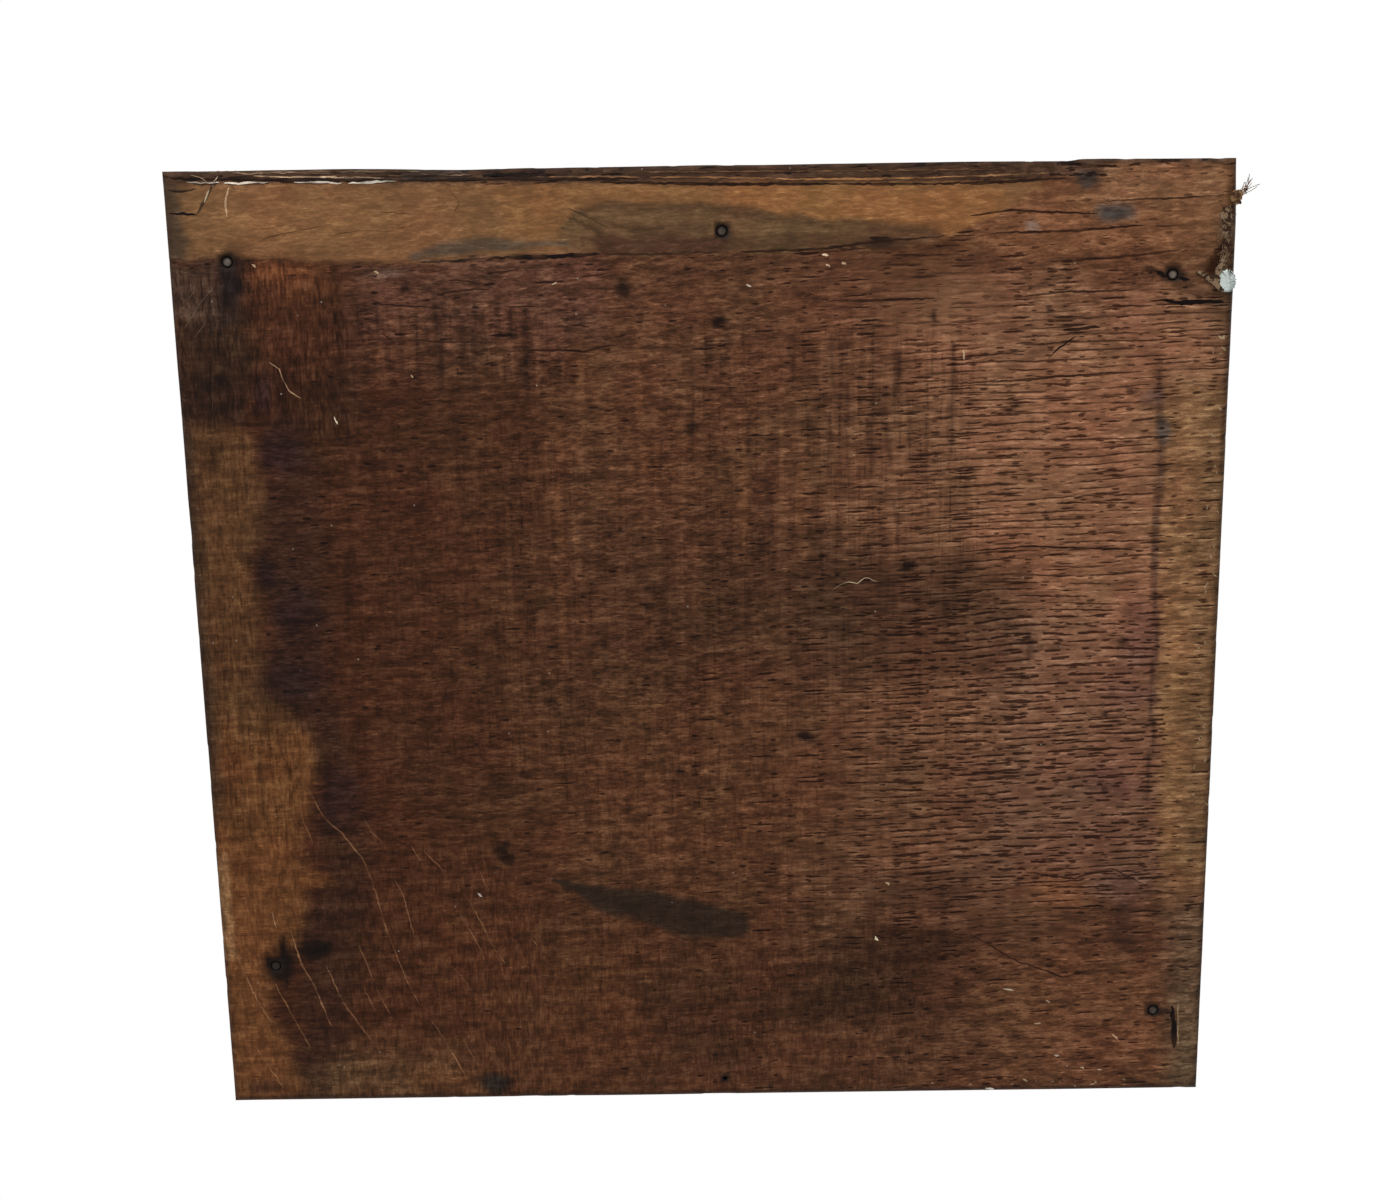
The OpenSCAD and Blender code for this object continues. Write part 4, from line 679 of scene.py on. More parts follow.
def paint_marks(p):
    """Dark smear, single black marks, and upright bars left by the saw."""
    smear = ((556, 882, 2), (582, 890, 5), (604, 900, 13), (645, 908, 18), (688, 915, 18), (718, 919, 16),
             (740, 924, 12))
    p.smear = p.trail(smear, 0.25)
    p.lay(p.smear * 0.95, (46, 35, 28))
    marks = ((716, 321, 6, 7), (503, 543, 6, 6), (506, 846, 7, 5), (501, 857, 4, 4), (908, 567, 8, 5),
             (808, 736, 9, 4), (621, 290, 9, 15), (1050, 312, 4, 6), (404, 288, 5, 8), (1131, 388, 7, 4),
             (1120, 641, 5, 5), (1104, 716, 4, 4), (1011, 710, 5, 4), (690, 430, 9, 7), (880, 735, 8, 4),
             (1105, 792, 5, 4), (1007, 411, 7, 4), (935, 315, 4, 7))
    p.spots(((x, y, rx * 0.8, ry * 0.75) for x, y, rx, ry in marks), 0.5, 0.85, (33, 22, 19))
    for cx, y0, y1, w in ((402, 311, 372, 4.5), (464, 316, 366, 5), (483, 314, 362, 4), (440, 318, 350, 3),
                          (525, 312, 392, 4), (375, 318, 350, 3), (708, 336, 380, 4), (833, 336, 384, 3),
                          (896, 352, 392, 4), (870, 418, 452, 4), (953, 345, 445, 4), (896, 500, 545, 3),
                          (1028, 640, 665, 5), (745, 560, 640, 4), (660, 590, 650, 5), (345, 560, 640, 4)):
        bar = p.trail(((cx, y0, w * 0.6), (cx + 1, (y0 + y1) / 2, w), (cx, y1, w * 0.5)), 0.6, 0.9)
        p.lay(bar * 0.6, (46, 29, 22))
    for cx, y0, y1, w in ((559, 400, 700, 5), (745, 440, 560, 5), (800, 400, 560, 5), (640, 330, 470, 4),
                          (580, 330, 420, 4)):
        bar = p.trail(((cx, y0, w * 0.5), (cx, (y0 + y1) / 2, w), (cx + 1, y1, w * 0.5)), 0.6)
        p.lay(bar * 0.28, (116, 76, 50))
    rng = np.random.RandomState(37)
    groups = [((345, 565), (312, 372), (9, 26))] * 24 + [((700, 970), (340, 545), (12, 36))] * 16
    for k, (xs, ys, runs) in enumerate(groups):
        cx, cy, run = rng.uniform(*xs), rng.uniform(*ys), rng.uniform(*runs)
        bar = p.trail(((cx, cy - run, 2.0), (cx + 1, cy + run, 2.6)), 0.5, 0.8)
        p.lay(bar * 0.5, (50, 32, 25) if k % 3 else (108, 72, 53))


def paint_nail_stains(p):
    """Black stains round the nails."""
    p.blots((232, 283, 13, 30, 0.7, 0.9, 26, 21, 22), (229, 262, 9, 8, 0.4, 1, 20, 14, 12),
            (722, 232, 8, 8, 0.35, 0.9, 28, 18, 14), (1173, 276, 15, 6, 0.4, 1, 30, 21, 16),
            (1148, 269, 7, 4, 0.5, 0.8, 32, 22, 17), (279, 963, 18, 17, 0.5, 0.97, 22, 16, 14),
            (314, 952, 17, 10, 0.5, 0.95, 24, 18, 16), (1152, 1010, 7, 6, 0.4, 0.9, 30, 21, 16),
            (1163, 1011, 9, 4, 0.5, 0.8, 36, 27, 21), (725, 1078, 5, 5, 0.4, 0.8, 34, 24, 18))
    for spike in (((281, 960, 6), (283, 938, 1.5)), ((275, 962, 6), (264, 957, 1.5)),
                  ((284, 968, 6), (286, 982, 1.5)), ((310, 950, 7), (332, 947, 2))):
        p.lay(p.trail(spike, 0.5, 0.8) * 0.9, (24, 18, 16))


def paint_edges(p):
    """Dark front strip, partly dirt and partly painted shade of its recess, with grey spots at its right end,
    peeled fibres at the right edge with a painted shadow beside them, and a thin dark rim.
    """
    strip_y = np.interp(p.px, (160, 600, 1000, 1090, 1240), (184, 183, 182, 176, 164))
    p.strip = 1 - smooth(-2.5, 2.5, p.py - strip_y + 2 * p.ragged)
    # the recessed strip laid dark: its dirt and the painted shade of the recess
    p.lay(p.strip * (1 - smooth(1075, 1120, p.fx)) * 0.95, (62, 43, 33))
    p.areas((400, 470, 160, 178, 4, 0.8, 50, 40, 36), over=p.strip, fine=True)
    p.blots((1113, 211, 18, 11, 0.5, 1, 76, 70, 65), (1086, 179, 12, 9, 0.4, 0.9, 64, 55, 51),
            (1105, 172, 16, 4, 0.6, 0.7, 60, 46, 40))
    p.lay(p.trail(((1101, 208, 1.5), (1114, 209, 2.5), (1127, 207, 1.5))) * 0.8, (44, 38, 38))
    p.areas((1100, 1226, 166, 204, 10, 0.6, 134, 94, 67), (1082, 1236, 150, 164, 3, 0.55, 76, 60, 48),
            fine=True)
    p.blots((1233, 204, 5, 20, 0.6, 0.8, 58, 35, 20), (1227, 224, 8, 12, 0.6, 0.7, 112, 90, 73))
    # painted shadow beside the peeled fibres, laid as a dark trail
    torn = p.trail(((1226, 238, 4), (1219, 254, 7), (1211, 270, 6), (1214, 288, 4)), 0.4)
    p.lay(torn * 0.95, (46, 26, 16))
    p.blots((1196, 287, 22, 9, 0.8, 0.5, 78, 52, 38), (1031, 224, 6, 5, 0.5, 0.7, 138, 118, 104))
    from_right = RIGHT_AT - RIGHT_LEAN * p.py - p.px
    from_front = p.py - (FRONT_AT - FRONT_LEAN * p.px)
    from_back = BACK_AT - BACK_LEAN * p.px - p.py
    rim = np.minimum(np.minimum(p.from_left, from_right), np.minimum(from_front, from_back))
    p.lay((1 - smooth(0.5, 5.0, rim + 3 * p.ragged)) * 0.6, (46, 33, 26))


def set_grain(p):
    """Pores are open and plain at the right, worn away at the left and in the front band."""
    upper_left = p.area(150, 345, 270, 430, 14)
    p.pore = 0.22 + 0.68 * smooth(620, 980, p.wx) + p.sum_of((350, 620, 262, 345, 16, 0.05))
    p.pore = p.pore * (1 - 0.9 * p.band) * (1 - 0.7 * p.left) - 0.3 * p.edge + 0.75 * p.strip
    p.pore += p.sum_of((900, 1150, 620, 880, 30, 0.3), (960, 1240, 100, 300, 40, -0.4),
                       (990, 1260, 100, 250, 30, -0.15), (820, 1300, 925, 1200, 40, -0.5),
                       (300, 820, 930, 1200, 40, -0.14), (150, 345, 270, 480, 14, -0.12))
    p.upright = 0.85 * upper_left + 0.6 * p.left
    p.upright += p.sum_of((300, 540, 840, 1200, 40, 0.6), (500, 930, 925, 1200, 40, 0.5),
                          (320, 560, 420, 800, 50, 0.3), (560, 840, 700, 900, 40, 0.3))
    p.upright *= 1 - p.band
    p.detail = (1.13 - 0.6 * p.band - 0.2 * p.left) * (1 - 0.45 * p.smear)
    p.detail *= (1 - 0.3 * p.area(990, 1260, 170, 250, 30)) * (1 - 0.4 * p.area(880, 1000, 262, 335, 20))
    p.detail += 0.6 * p.strip
    p.saw = p.left * (1 - smooth(800, 900, p.wy)) * 0.8 + upper_left * 0.9
    p.saw += p.sum_of((640, 980, 320, 450, 40, 0.6), (820, 965, 340, 560, 25, 0.6),
                      (500, 1000, 450, 780, 70, 0.7), (300, 560, 400, 800, 60, 0.4),
                      (560, 960, 780, 1040, 60, 0.5), (340, 565, 300, 385, 14, 0.8))


def paint_underside(x, y):
    p = Paint(x, y)
    for layer in (paint_boards, paint_front_band, paint_left, paint_back, paint_right, paint_marks,
                  paint_nail_stains, paint_edges, set_grain):
        layer(p)
    return p


# Mesh of the worn board; the kinds of its faces are the numbers of their materials
SHEET, RIM, EDGE = 0, 1, 2
PIT_GRAIN, EDGE_GRAIN, SLIP_GRAIN = (0.2, 0, 0.5, 0), (0.5, 0, 1, 0), (0, 0, 0.6, 0)
NAIL_PIT, LOST_PIT = (2.1, 1.5, 5), (0.9, 7.0, 3)


def at(i, j):
    """Number of a point of the sheet."""
    return j * (NX + 1) + i


def near_edge(cells, reach):
    """One at an edge, falling to nothing after a number of cells."""
    return np.maximum(0, 1 - cells / reach)


class Board:
    """Points, faces, stain colours and grain amounts of the worn base board, gathered as they are made."""

    def __init__(self):
        self.points, self.stains, self.grains, self.faces, self.kinds = [], [], [], [], []
        self.count = 0
        self.add_sheet()
        self.add_edge()

    def add_points(self, new, stain, grain):
        """Adds points and returns their numbers."""
        new = np.asarray(new, float)
        self.points.append(new)
        self.stains.append(np.broadcast_to(stain, (len(new), 3)))
        self.grains.append(np.broadcast_to(grain, (len(new), 4)))
        self.count += len(new)
        return list(range(self.count - len(new), self.count))

    def add_faces(self, faces, kind):
        self.faces += faces
        self.kinds += [kind] * len(faces)

    def add_sheet(self):
        """The underside itself: a grid worn back along its edges, with pits for the nails."""
        u, v = np.meshgrid(np.linspace(0, 1, NX + 1), np.linspace(0, 1, NY + 1))
        u, v = u.ravel(), v.ravel()
        shares = ((1 - u) * (1 - v), u * (1 - v), u * v, (1 - u) * v)
        x, y = sum(np.outer(share, corner) for share, corner in zip(shares, CORNERS)).T.copy()
        west, east, south, north = u * NX, (1 - u) * NX, v * NY, (1 - v) * NY
        for cells, t, seed, sx, sy in ((west, v, 41, 1, 0), (east, v, 51, -1, 0),
                                       (south, u, 61, 0, 1), (north, u, 71, 0, -1)):
            wear = edge_wear(t, seed) * near_edge(cells, 5) * 0.22
            x += sx * wear
            y += sy * wear
        worn_strip = smooth(-130, -80, x) * (1 - smooth(126, 136, x))
        worn_strip = worn_strip * (0.5 + 0.5 * value_noise(x / 30, x * 0, 83))
        y += 0.9 * worn_strip * near_edge(south, 4)
        y += 1.0 * smooth(95, 185, x) * near_edge(south, 8)
        x -= 0.8 * smooth(-150, -176, y) * near_edge(east, 8)
        z = surface_height(x, y, u, v)
        paint = paint_underside(x, y)
        grain = (paint.pore, np.clip(paint.saw, 0, 1), paint.detail, np.clip(paint.upright, 0, 1))
        self.add_points(np.stack([x, y, z], 1), paint.colour, np.stack(grain, 1))
        gone = set()
        for nail in NAILS:
            gone |= self.add_pit(nail, *NAIL_PIT)
        gone |= self.add_pit(LOST_NAIL, *LOST_PIT)
        self.add_faces([(at(i, j), at(i, j + 1), at(i + 1, j + 1), at(i + 1, j))
                        for j in range(NY) for i in range(NX) if (i, j) not in gone], SHEET)

    def add_pit(self, middle, radius, deep, cells):
        """A nail pit in place of a few cells of the sheet, which are returned."""
        x, y, z = self.points[0].T
        nx, ny = middle
        near = np.argmin((x - nx) ** 2 + (y - ny) ** 2)
        i0 = int(round(near % (NX + 1) - cells / 2))
        j0 = int(round(near // (NX + 1) - cells / 2))
        i1, j1 = i0 + cells, j0 + cells
        loop = ([at(i0 + k, j0) for k in range(cells)] + [at(i1, j0 + k) for k in range(cells)]
                + [at(i1 - k, j1) for k in range(cells)] + [at(i0, j1 - k) for k in range(cells)])
        angle = np.arctan2(y[loop] - ny, x[loop] - nx)
        ring = np.stack([nx + radius * np.cos(angle), ny + radius * np.sin(angle)], 1)
        rows = [loop]
        for height, rgb in ((z[loop].mean() + 0.05, (30, 22, 18)), (deep, (18, 13, 11))):
            rows.append(self.add_points(np.c_[ring, np.full(len(loop), height)], linear(*rgb), PIT_GRAIN))
        for k in range(len(loop)):
            n = (k + 1) % len(loop)
            self.add_faces([(a[k], b[k], b[n], a[n]) for a, b in zip(rows, rows[1:])], SHEET)
        self.add_faces([tuple(reversed(rows[-1]))], SHEET)
        return {(i, j) for i in range(i0, i1) for j in range(j0, j1)}

    def add_edge(self):
        """Edge of the board: upright, then rounded over at the front and the sides, then the rim inside."""
        x, y, _ = self.points[0].T
        ring = ([(i, 0) for i in range(NX)] + [(NX, j) for j in range(NY)]
                + [(NX - i, NY) for i in range(NX)] + [(0, NY - j) for j in range(NY)])
        columns, rows = np.array(ring).T
        low = at(columns, rows)
        west, east = x[at(0, rows)], x[at(NX, rows)]
        south, north = y[at(columns, 0)], y[at(columns, NY)]
        # each step up the edge: how far in it lies, its height, and how far in at the back
        steps = [(0.0, 2.6, 0.0), (0.05, 5.2, 0.0), (0.1, 7.8, 0.05)]
        for k, t in enumerate(np.radians((20, 40, 60, 78, 90))):
            steps.append((ROUND * (1 - math.cos(t)), TOP_Z - ROUND + ROUND * math.sin(t), 0.05 + 0.02 * k))
        steps.append((15.0, TOP_Z, 3.0))
        before = list(low)
        for inset, height, back_in in steps:
            ex = np.clip(x[low], west + inset, east - inset)
            ey = np.clip(y[low], south + inset, north - back_in)
            worn = 0.10 * (layered(ex / 14, ey / 14 + height, 91, 3) - 0.5) * (height < TOP_Z)
            tone = 0.75 + 0.6 * layered(ex / 30 + 3, ey / 30 + height / 6, 95, 4)
            stain = tone[:, None] * linear(84, 55, 37)
            now = self.add_points(np.stack([ex, ey, height + worn], 1), stain, EDGE_GRAIN)
            self.add_faces(list(zip(before, before[1:] + before[:1], now[1:] + now[:1], now)), EDGE)
            before = now
        corners = [0, NX, NX + NY, 2 * NX + NY]
        shrunk = self.points[-1][corners] * (0.97, 0.97, 1.0)
        inner = self.add_points(shrunk, linear(100, 70, 45), EDGE_GRAIN)
        closed = before + before[:1]
        for k, (start, stop) in enumerate(zip(corners, corners[1:] + [len(before)])):
            side = closed[start:stop + 1]
            half, this, other = len(side) // 2, inner[k], inner[(k + 1) % 4]
            fan = [(side[i], side[i + 1], this if i < half else other) for i in range(len(side) - 1)]
            self.add_faces(fan + [(side[half], other, this)], RIM)
        self.add_faces([tuple(inner)], RIM)


# Scratches, cracks and fibres as thin slips on the underside, and a few lines of painted highlight and
# painted shade along the front strip: width in millimetres, colour, frame points
PALE, TAN, BLACK, BROWN = (144, 112, 86), (114, 78, 55), (20, 14, 12), (46, 29, 22)
# the first of these is a worn arris with a painted highlight on it
WEAR_AND_HIGHLIGHT, CREAM, DUST = (206, 194, 178), (176, 150, 118), (146, 122, 96)
SLIP_STEP = 1.6
SLIPS = (
    # scratches at the back left
    (0.6, TAN, 307, 787, 324, 818, 341, 832, 362, 858, 372, 880, 386, 929, 393, 946, 407, 981, 419, 1004),
    (0.5, TAN, 362, 815, 372, 832, 386, 846), (0.5, TAN, 411, 846, 421, 861),
    (0.55, TAN, 424, 851, 444, 872), (0.5, TAN, 395, 879, 404, 898, 412, 929, 421, 950),
    (0.4, TAN, 480, 872, 489, 891), (0.6, TAN, 468, 898, 483, 926, 497, 953, 506, 964),
    (0.55, TAN, 459, 913, 475, 939, 485, 960), (0.55, TAN, 450, 964, 463, 978, 471, 991),
    (0.5, TAN, 359, 945, 367, 964, 374, 981), (0.5, TAN, 376, 988, 390, 1014),
    (0.4, TAN, 364, 988, 376, 1012), (0.65, (134, 94, 66), 291, 932, 301, 964, 314, 984, 331, 1026),
    (0.6, TAN, 326, 965, 343, 1002, 359, 1024, 385, 1057),
    (0.6, (138, 98, 66), 236, 953, 248, 981, 258, 1002, 272, 1023),
    (0.6, (134, 94, 62), 275, 984, 289, 1009, 310, 1047),
    (0.55, (138, 98, 66), 256, 1047, 265, 1061, 284, 1088),
    (0.6, (134, 94, 66), 449, 1047, 459, 1064, 468, 1080), (0.55, TAN, 464, 1040, 483, 1075),
    (0.4, TAN, 301, 815, 312, 841), (0.4, PALE, 272, 912, 277, 929), (0.4, TAN, 431, 1019, 445, 1040),
    (0.4, TAN, 532, 939, 537, 946),
    # front left corner and the worn front strip, with painted highlights on its worn lower arris and dark
    # lines of painted shade along its step
    (1.2, (44, 34, 26), 216, 180, 206, 198, 197, 214), (0.6, (176, 152, 128), 217, 176, 209, 192, 204, 203),
    (0.7, (168, 138, 108), 229, 187, 225, 203, 228, 217), (0.9, BLACK, 169, 213, 183, 214, 197, 215),
    # pale lines on the strip's lower arris: wear with a painted highlight on it
    (0.6, WEAR_AND_HIGHLIGHT, 186, 182, 202, 183, 219, 182), (0.7, WEAR_AND_HIGHLIGHT, 224, 183, 246, 183, 268, 182),
    (0.65, WEAR_AND_HIGHLIGHT, 294, 182, 320, 182, 342, 183), (0.7, WEAR_AND_HIGHLIGHT, 348, 183, 375, 182, 396, 181),
    # the darkest lines near the strip's lower edge, at frame rows 178 to 184, are painted shade of its step
    (0.5, CREAM, 253, 176, 290, 177, 336, 176), (0.9, (26, 18, 15), 205, 179, 300, 180, 392, 179),
    (0.9, (34, 23, 18), 396, 180, 500, 178, 620, 180), (1.1, (36, 23, 17), 600, 182, 700, 184, 840, 184),
    (0.7, (160, 112, 72), 775, 179, 860, 179, 950, 177), (0.7, (138, 98, 66), 548, 177, 590, 176, 640, 177),
    (0.6, (140, 98, 64), 650, 177, 700, 177, 772, 178),
    (0.6, (146, 106, 72), 945, 177, 1000, 175, 1046, 173),
    (0.9, (40, 26, 20), 840, 184, 890, 184, 934, 184), (1.2, (18, 13, 12), 482, 175, 520, 174, 556, 175),
    (0.35, (150, 126, 102), 250, 173, 290, 172, 334, 173),
    (0.4, (158, 134, 110), 296, 177, 326, 177, 352, 178),
    (0.4, (140, 116, 94), 232, 173, 248, 174, 262, 173),
    (0.45, (150, 124, 100), 340, 177, 360, 177, 384, 178),
    (0.4, (148, 124, 100), 190, 175, 198, 177, 206, 181),
    (0.4, (116, 90, 70), 420, 174, 450, 175, 474, 174), (0.8, (28, 20, 16), 170, 178, 186, 179, 200, 178),
    (0.7, (40, 30, 24), 168, 190, 180, 192, 196, 189), (1.0, (40, 26, 20), 930, 184, 1000, 182, 1066, 178),
    (0.5, (104, 74, 52), 620, 172, 800, 171, 1000, 169), (0.5, (104, 84, 66), 180, 172, 300, 171, 420, 171),
    (0.35, (98, 80, 66), 184, 330, 198, 306, 214, 286), (0.3, (92, 74, 60), 186, 352, 200, 330, 208, 318),
    (0.3, (92, 74, 60), 188, 300, 196, 290),
    # lower edge of the front band
    (1.5, BLACK, 488, 258, 545, 257, 600, 254), (0.8, (40, 30, 26), 420, 262, 455, 261, 488, 258),
    (0.9, (50, 34, 26), 600, 254, 660, 254, 720, 252),
    (0.9, (42, 29, 22), 740, 252, 820, 249, 880, 241, 945, 236),
    (0.6, (66, 50, 36), 567, 208, 586, 216, 612, 230), (1.5, (38, 27, 21), 870, 238, 880, 239, 892, 240),
    # cracks along the grain
    (0.9, BROWN, 827, 301, 880, 300, 935, 298), (0.8, BROWN, 970, 216, 1012, 210, 1098, 214),
    (0.9, BROWN, 989, 233, 1070, 231, 1144, 225), (0.7, BROWN, 1050, 262, 1110, 258, 1180, 250),
    (1.0, (34, 22, 17), 1064, 330, 1082, 328, 1100, 327), (0.6, BROWN, 1105, 201, 1150, 199, 1215, 196),
    (0.7, BROWN, 1020, 297, 1060, 292, 1130, 290), (0.7, BROWN, 960, 552, 1030, 546, 1140, 550),
    (0.6, BROWN, 952, 384, 1020, 380, 1120, 372), (0.6, BROWN, 970, 934, 1017, 961, 1064, 977, 1095, 969),
    (0.6, BROWN, 1025, 872, 1072, 879, 1111, 868, 1142, 883), (0.6, BLACK, 1048, 358, 1062, 346, 1076, 336),
    (1.5, BLACK, 1163, 300, 1180, 303, 1205, 301, 1224, 302),
    (2.0, BLACK, 1172, 1006, 1174, 1030, 1174, 1048), (0.6, (150, 122, 92), 1178, 1000, 1178, 1046),
    (1.2, BLACK, 1156, 271, 1162, 274, 1167, 277), (1.0, BLACK, 1178, 277, 1184, 279, 1190, 280),
    (0.22, (76, 58, 46), 211, 241, 212, 300, 212, 350), (0.2, (70, 52, 42), 213, 362, 213, 440),
    # pale fibres and specks
    (0.3, (196, 170, 136), 832, 590, 846, 582, 858, 583, 866, 577, 877, 582),
    (0.3, (158, 128, 98), 268, 362, 279, 368, 284, 382),
    (0.4, (160, 130, 100), 284, 382, 289, 391, 301, 398), (0.55, (196, 176, 152), 334, 417, 338, 424),
    (0.9, (206, 180, 150), 822, 254, 828, 256), (0.55, (200, 172, 140), 826, 264, 830, 267),
    (0.9, CREAM, 842, 262, 846, 265), (0.9, (190, 170, 150), 746, 285, 751, 287),
    (0.7, (186, 166, 146), 1003, 989, 1014, 990), (0.85, (190, 174, 156), 1054, 1055, 1059, 1056),
    (0.55, CREAM, 1034, 1024, 1041, 1023), (0.7, CREAM, 1046, 1000, 1050, 1003),
    (0.75, CREAM, 1112, 1034, 1118, 1039), (0.75, CREAM, 1080, 1067, 1084, 1068),
    (0.7, CREAM, 1023, 1079, 1028, 1081), (0.55, CREAM, 1097, 1069, 1102, 1070),
    (0.9, (214, 200, 170), 875, 936, 878, 941), (0.9, CREAM, 886, 882, 889, 885),
    (0.7, (220, 214, 204), 985, 1088, 994, 1089), (0.9, (190, 176, 160), 478, 893, 482, 897),
    (0.7, CREAM, 252, 264, 256, 268), (0.7, CREAM, 963, 350, 964, 360), (0.6, CREAM, 374, 271, 379, 273),
    (0.5, CREAM, 552, 285, 557, 282), (0.6, CREAM, 411, 375, 413, 378),
    # thin cracks at the upper left
    (0.55, BROWN, 449, 280, 464, 281, 477, 283, 486, 284), (0.6, BROWN, 436, 294, 464, 290, 489, 289),
    (0.6, BROWN, 374, 303, 402, 306, 433, 307, 443, 309), (0.45, BROWN, 508, 307, 539, 306),
    (0.7, (36, 23, 18), 527, 350, 552, 350, 586, 351, 608, 346, 617, 346), (0.6, BROWN, 570, 325, 589, 327),
    (0.4, BROWN, 407, 340, 458, 342, 496, 342), (0.5, BROWN, 380, 332, 393, 340),
    (0.5, BROWN, 580, 277, 608, 273), (0.4, BROWN, 418, 364, 440, 365), (0.4, BROWN, 527, 360, 558, 361),
    (0.45, BROWN, 492, 273, 517, 270),
    # faint lines in the front band
    (0.35, (90, 59, 37), 236, 250, 272, 236, 300, 230, 332, 224),
    (0.35, (92, 61, 38), 328, 236, 360, 230, 384, 232, 416, 224),
    (0.3, (92, 61, 38), 244, 226, 260, 230, 288, 224), (0.3, (90, 60, 38), 380, 212, 408, 214),
    (0.3, (88, 60, 40), 448, 188, 460, 202, 454, 214),
)


def dust_slips(rng, at_right=32, at_back=14):
    """Pale specks beside the right edge and at the back edge."""
    rows = []
    for k in range(at_right + at_back):
        if k < at_right:
            py = rng.uniform(320, 830)
            px = 1243 - RIGHT_LEAN * py - rng.uniform(3, 16)
        else:
            py = rng.uniform(1084, 1091)
            px = rng.uniform(930, 1190)
            py -= BACK_LEAN * px - 7.6
        end_x, end_y = px + rng.normal(0, 2.5), py + rng.uniform(2, 5) * (k < at_right)
        rows.append((rng.uniform(0.3, 0.7), DUST, px, py, end_x, end_y))
    return rows


def slip(points, width, rng, wobble=0.12):
    """Outline rows of a slip that follows frame points and tapers at both ends, in millimetres."""
    path = np.array([on_board(px, py) for px, py in points])
    run = np.r_[0, np.cumsum(np.linalg.norm(np.diff(path, axis=0), axis=1))]
    n = max(4, int(run[-1] / SLIP_STEP))
    t = np.linspace(0, 1, n + 1)
    mid = np.stack([np.interp(t * run[-1], run, path[:, k]) for k in (0, 1)], 1)
    way = np.gradient(mid, axis=0)
    way /= np.linalg.norm(way, axis=1)[:, None]
    off = np.stack([-way[:, 1], way[:, 0]], 1)
    mid = mid + rng.normal(0, wobble, n + 1)[:, None] * off
    half = width / 2 * (0.25 + 0.75 * np.sin(math.pi * t) ** 0.5) * (0.7 + 0.6 * rng.rand(n + 1))
    return mid + half[:, None] * off, mid - half[:, None] * off


def cells_under(places):
    """Columns and rows of the sheet's cells at places in millimetres, found in a few rounds."""
    a, b, c, d = CORNERS
    v = (places[:, 1] - a[1]) / (d[1] - a[1])
    for _ in range(4):
        x0, x1 = a[0] + (d[0] - a[0]) * v, b[0] + (c[0] - b[0]) * v
        u = (places[:, 0] - x0) / (x1 - x0)
        y0, y1 = a[1] + (b[1] - a[1]) * u, d[1] + (c[1] - d[1]) * u
        v = (places[:, 1] - y0) / (y1 - y0)
    return np.clip((u * NX).astype(int), 0, NX - 1), np.clip((v * NY).astype(int), 0, NY - 1)


def add_slip(board, width, rgb, path, rng):
    """Lays one slip just under the sheet, fading into the stain here and there."""
    points = list(zip(path[::2], path[1::2]))
    left, right = slip(points, width, rng)
    rows, n = np.concatenate([left, right]), len(left)
    i, j = cells_under(rows)
    heights = board.points[0][:, 2]
    height = np.min([heights[at(i + di, j + dj)] for di in (0, 1) for dj in (0, 1)], 0) - 0.03
    way = np.tile(np.arange(n) * SLIP_STEP, 2)
    least = 1.0 if n < 8 else 0.3 if sum(rgb) > 150 else 0.8
    broken = smooth(0.2, 0.6, value_noise(way / 4.5, way * 0 + points[0][0], 29))
    fade = (least + (1 - least) * broken)[:, None]
    tone = Paint.pigment(*rgb) * fade + board.stains[0][at(i, j)] * (1 - fade)
    ids = board.add_points(np.c_[rows, height], tone, SLIP_GRAIN)
    ahead, aside = left[1] - left[0], right[0] - left[0]
    turn = 1 if ahead[0] * aside[1] - ahead[1] * aside[0] < 0 else -1
    board.add_faces([(ids[k], ids[k + 1], ids[n + k + 1], ids[n + k])[::turn] for k in range(n - 1)], SHEET)


def build_base():
    board = Board()
    rng = np.random.RandomState(5)
    for width, rgb, *path in (*SLIPS, *dust_slips(rng)):
        add_slip(board, width, rgb, path, rng)
    points, stains, grains = (np.concatenate(part) for part in (board.points, board.stains, board.grains))
    used = np.zeros(len(points), bool)
    used[[i for f in board.faces for i in f]] = True
    number = np.cumsum(used) - 1
    faces = [tuple(int(number[i]) for i in f) for f in board.faces]
    mesh = bpy.data.meshes.new("base_board_worn")
    mesh.from_pydata((points[used] / 1000).tolist(), [], faces)
    for name, values in (("stain", np.c_[stains, np.ones(len(stains))]), ("grain", grains)):
        layer = mesh.attributes.new(name, "FLOAT_COLOR", "POINT")
        layer.data.foreach_set("color", values[used].astype(np.float32).ravel())
    mesh.polygons.foreach_set("material_index", np.array(board.kinds, np.int32))
    mesh.polygons.foreach_set("use_smooth", np.array([len(f) < 5 for f in faces], bool))
    mesh.update()
    piece = place("base_board_worn", mesh)
    for mat in (underside_material(), MATERIALS["inner_x"], MATERIALS["base_edge"]):
        mesh.materials.append(mat)
    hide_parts("base_board")
    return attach(piece, "carcass")


# What is left of a paper label, glue and frayed fibres at the front right edge (millimetres)
PAPER_Z, PAPER_THICK, SCRAP_RINGS = 0.22, 0.08, (1.0, 0.8, 0.55, 0.25)
TUFT_FIBRES, TUFT_RADIUS, FRAY_FIBRES, FRAY_RADIUS = 15, 0.11, 90, 0.07


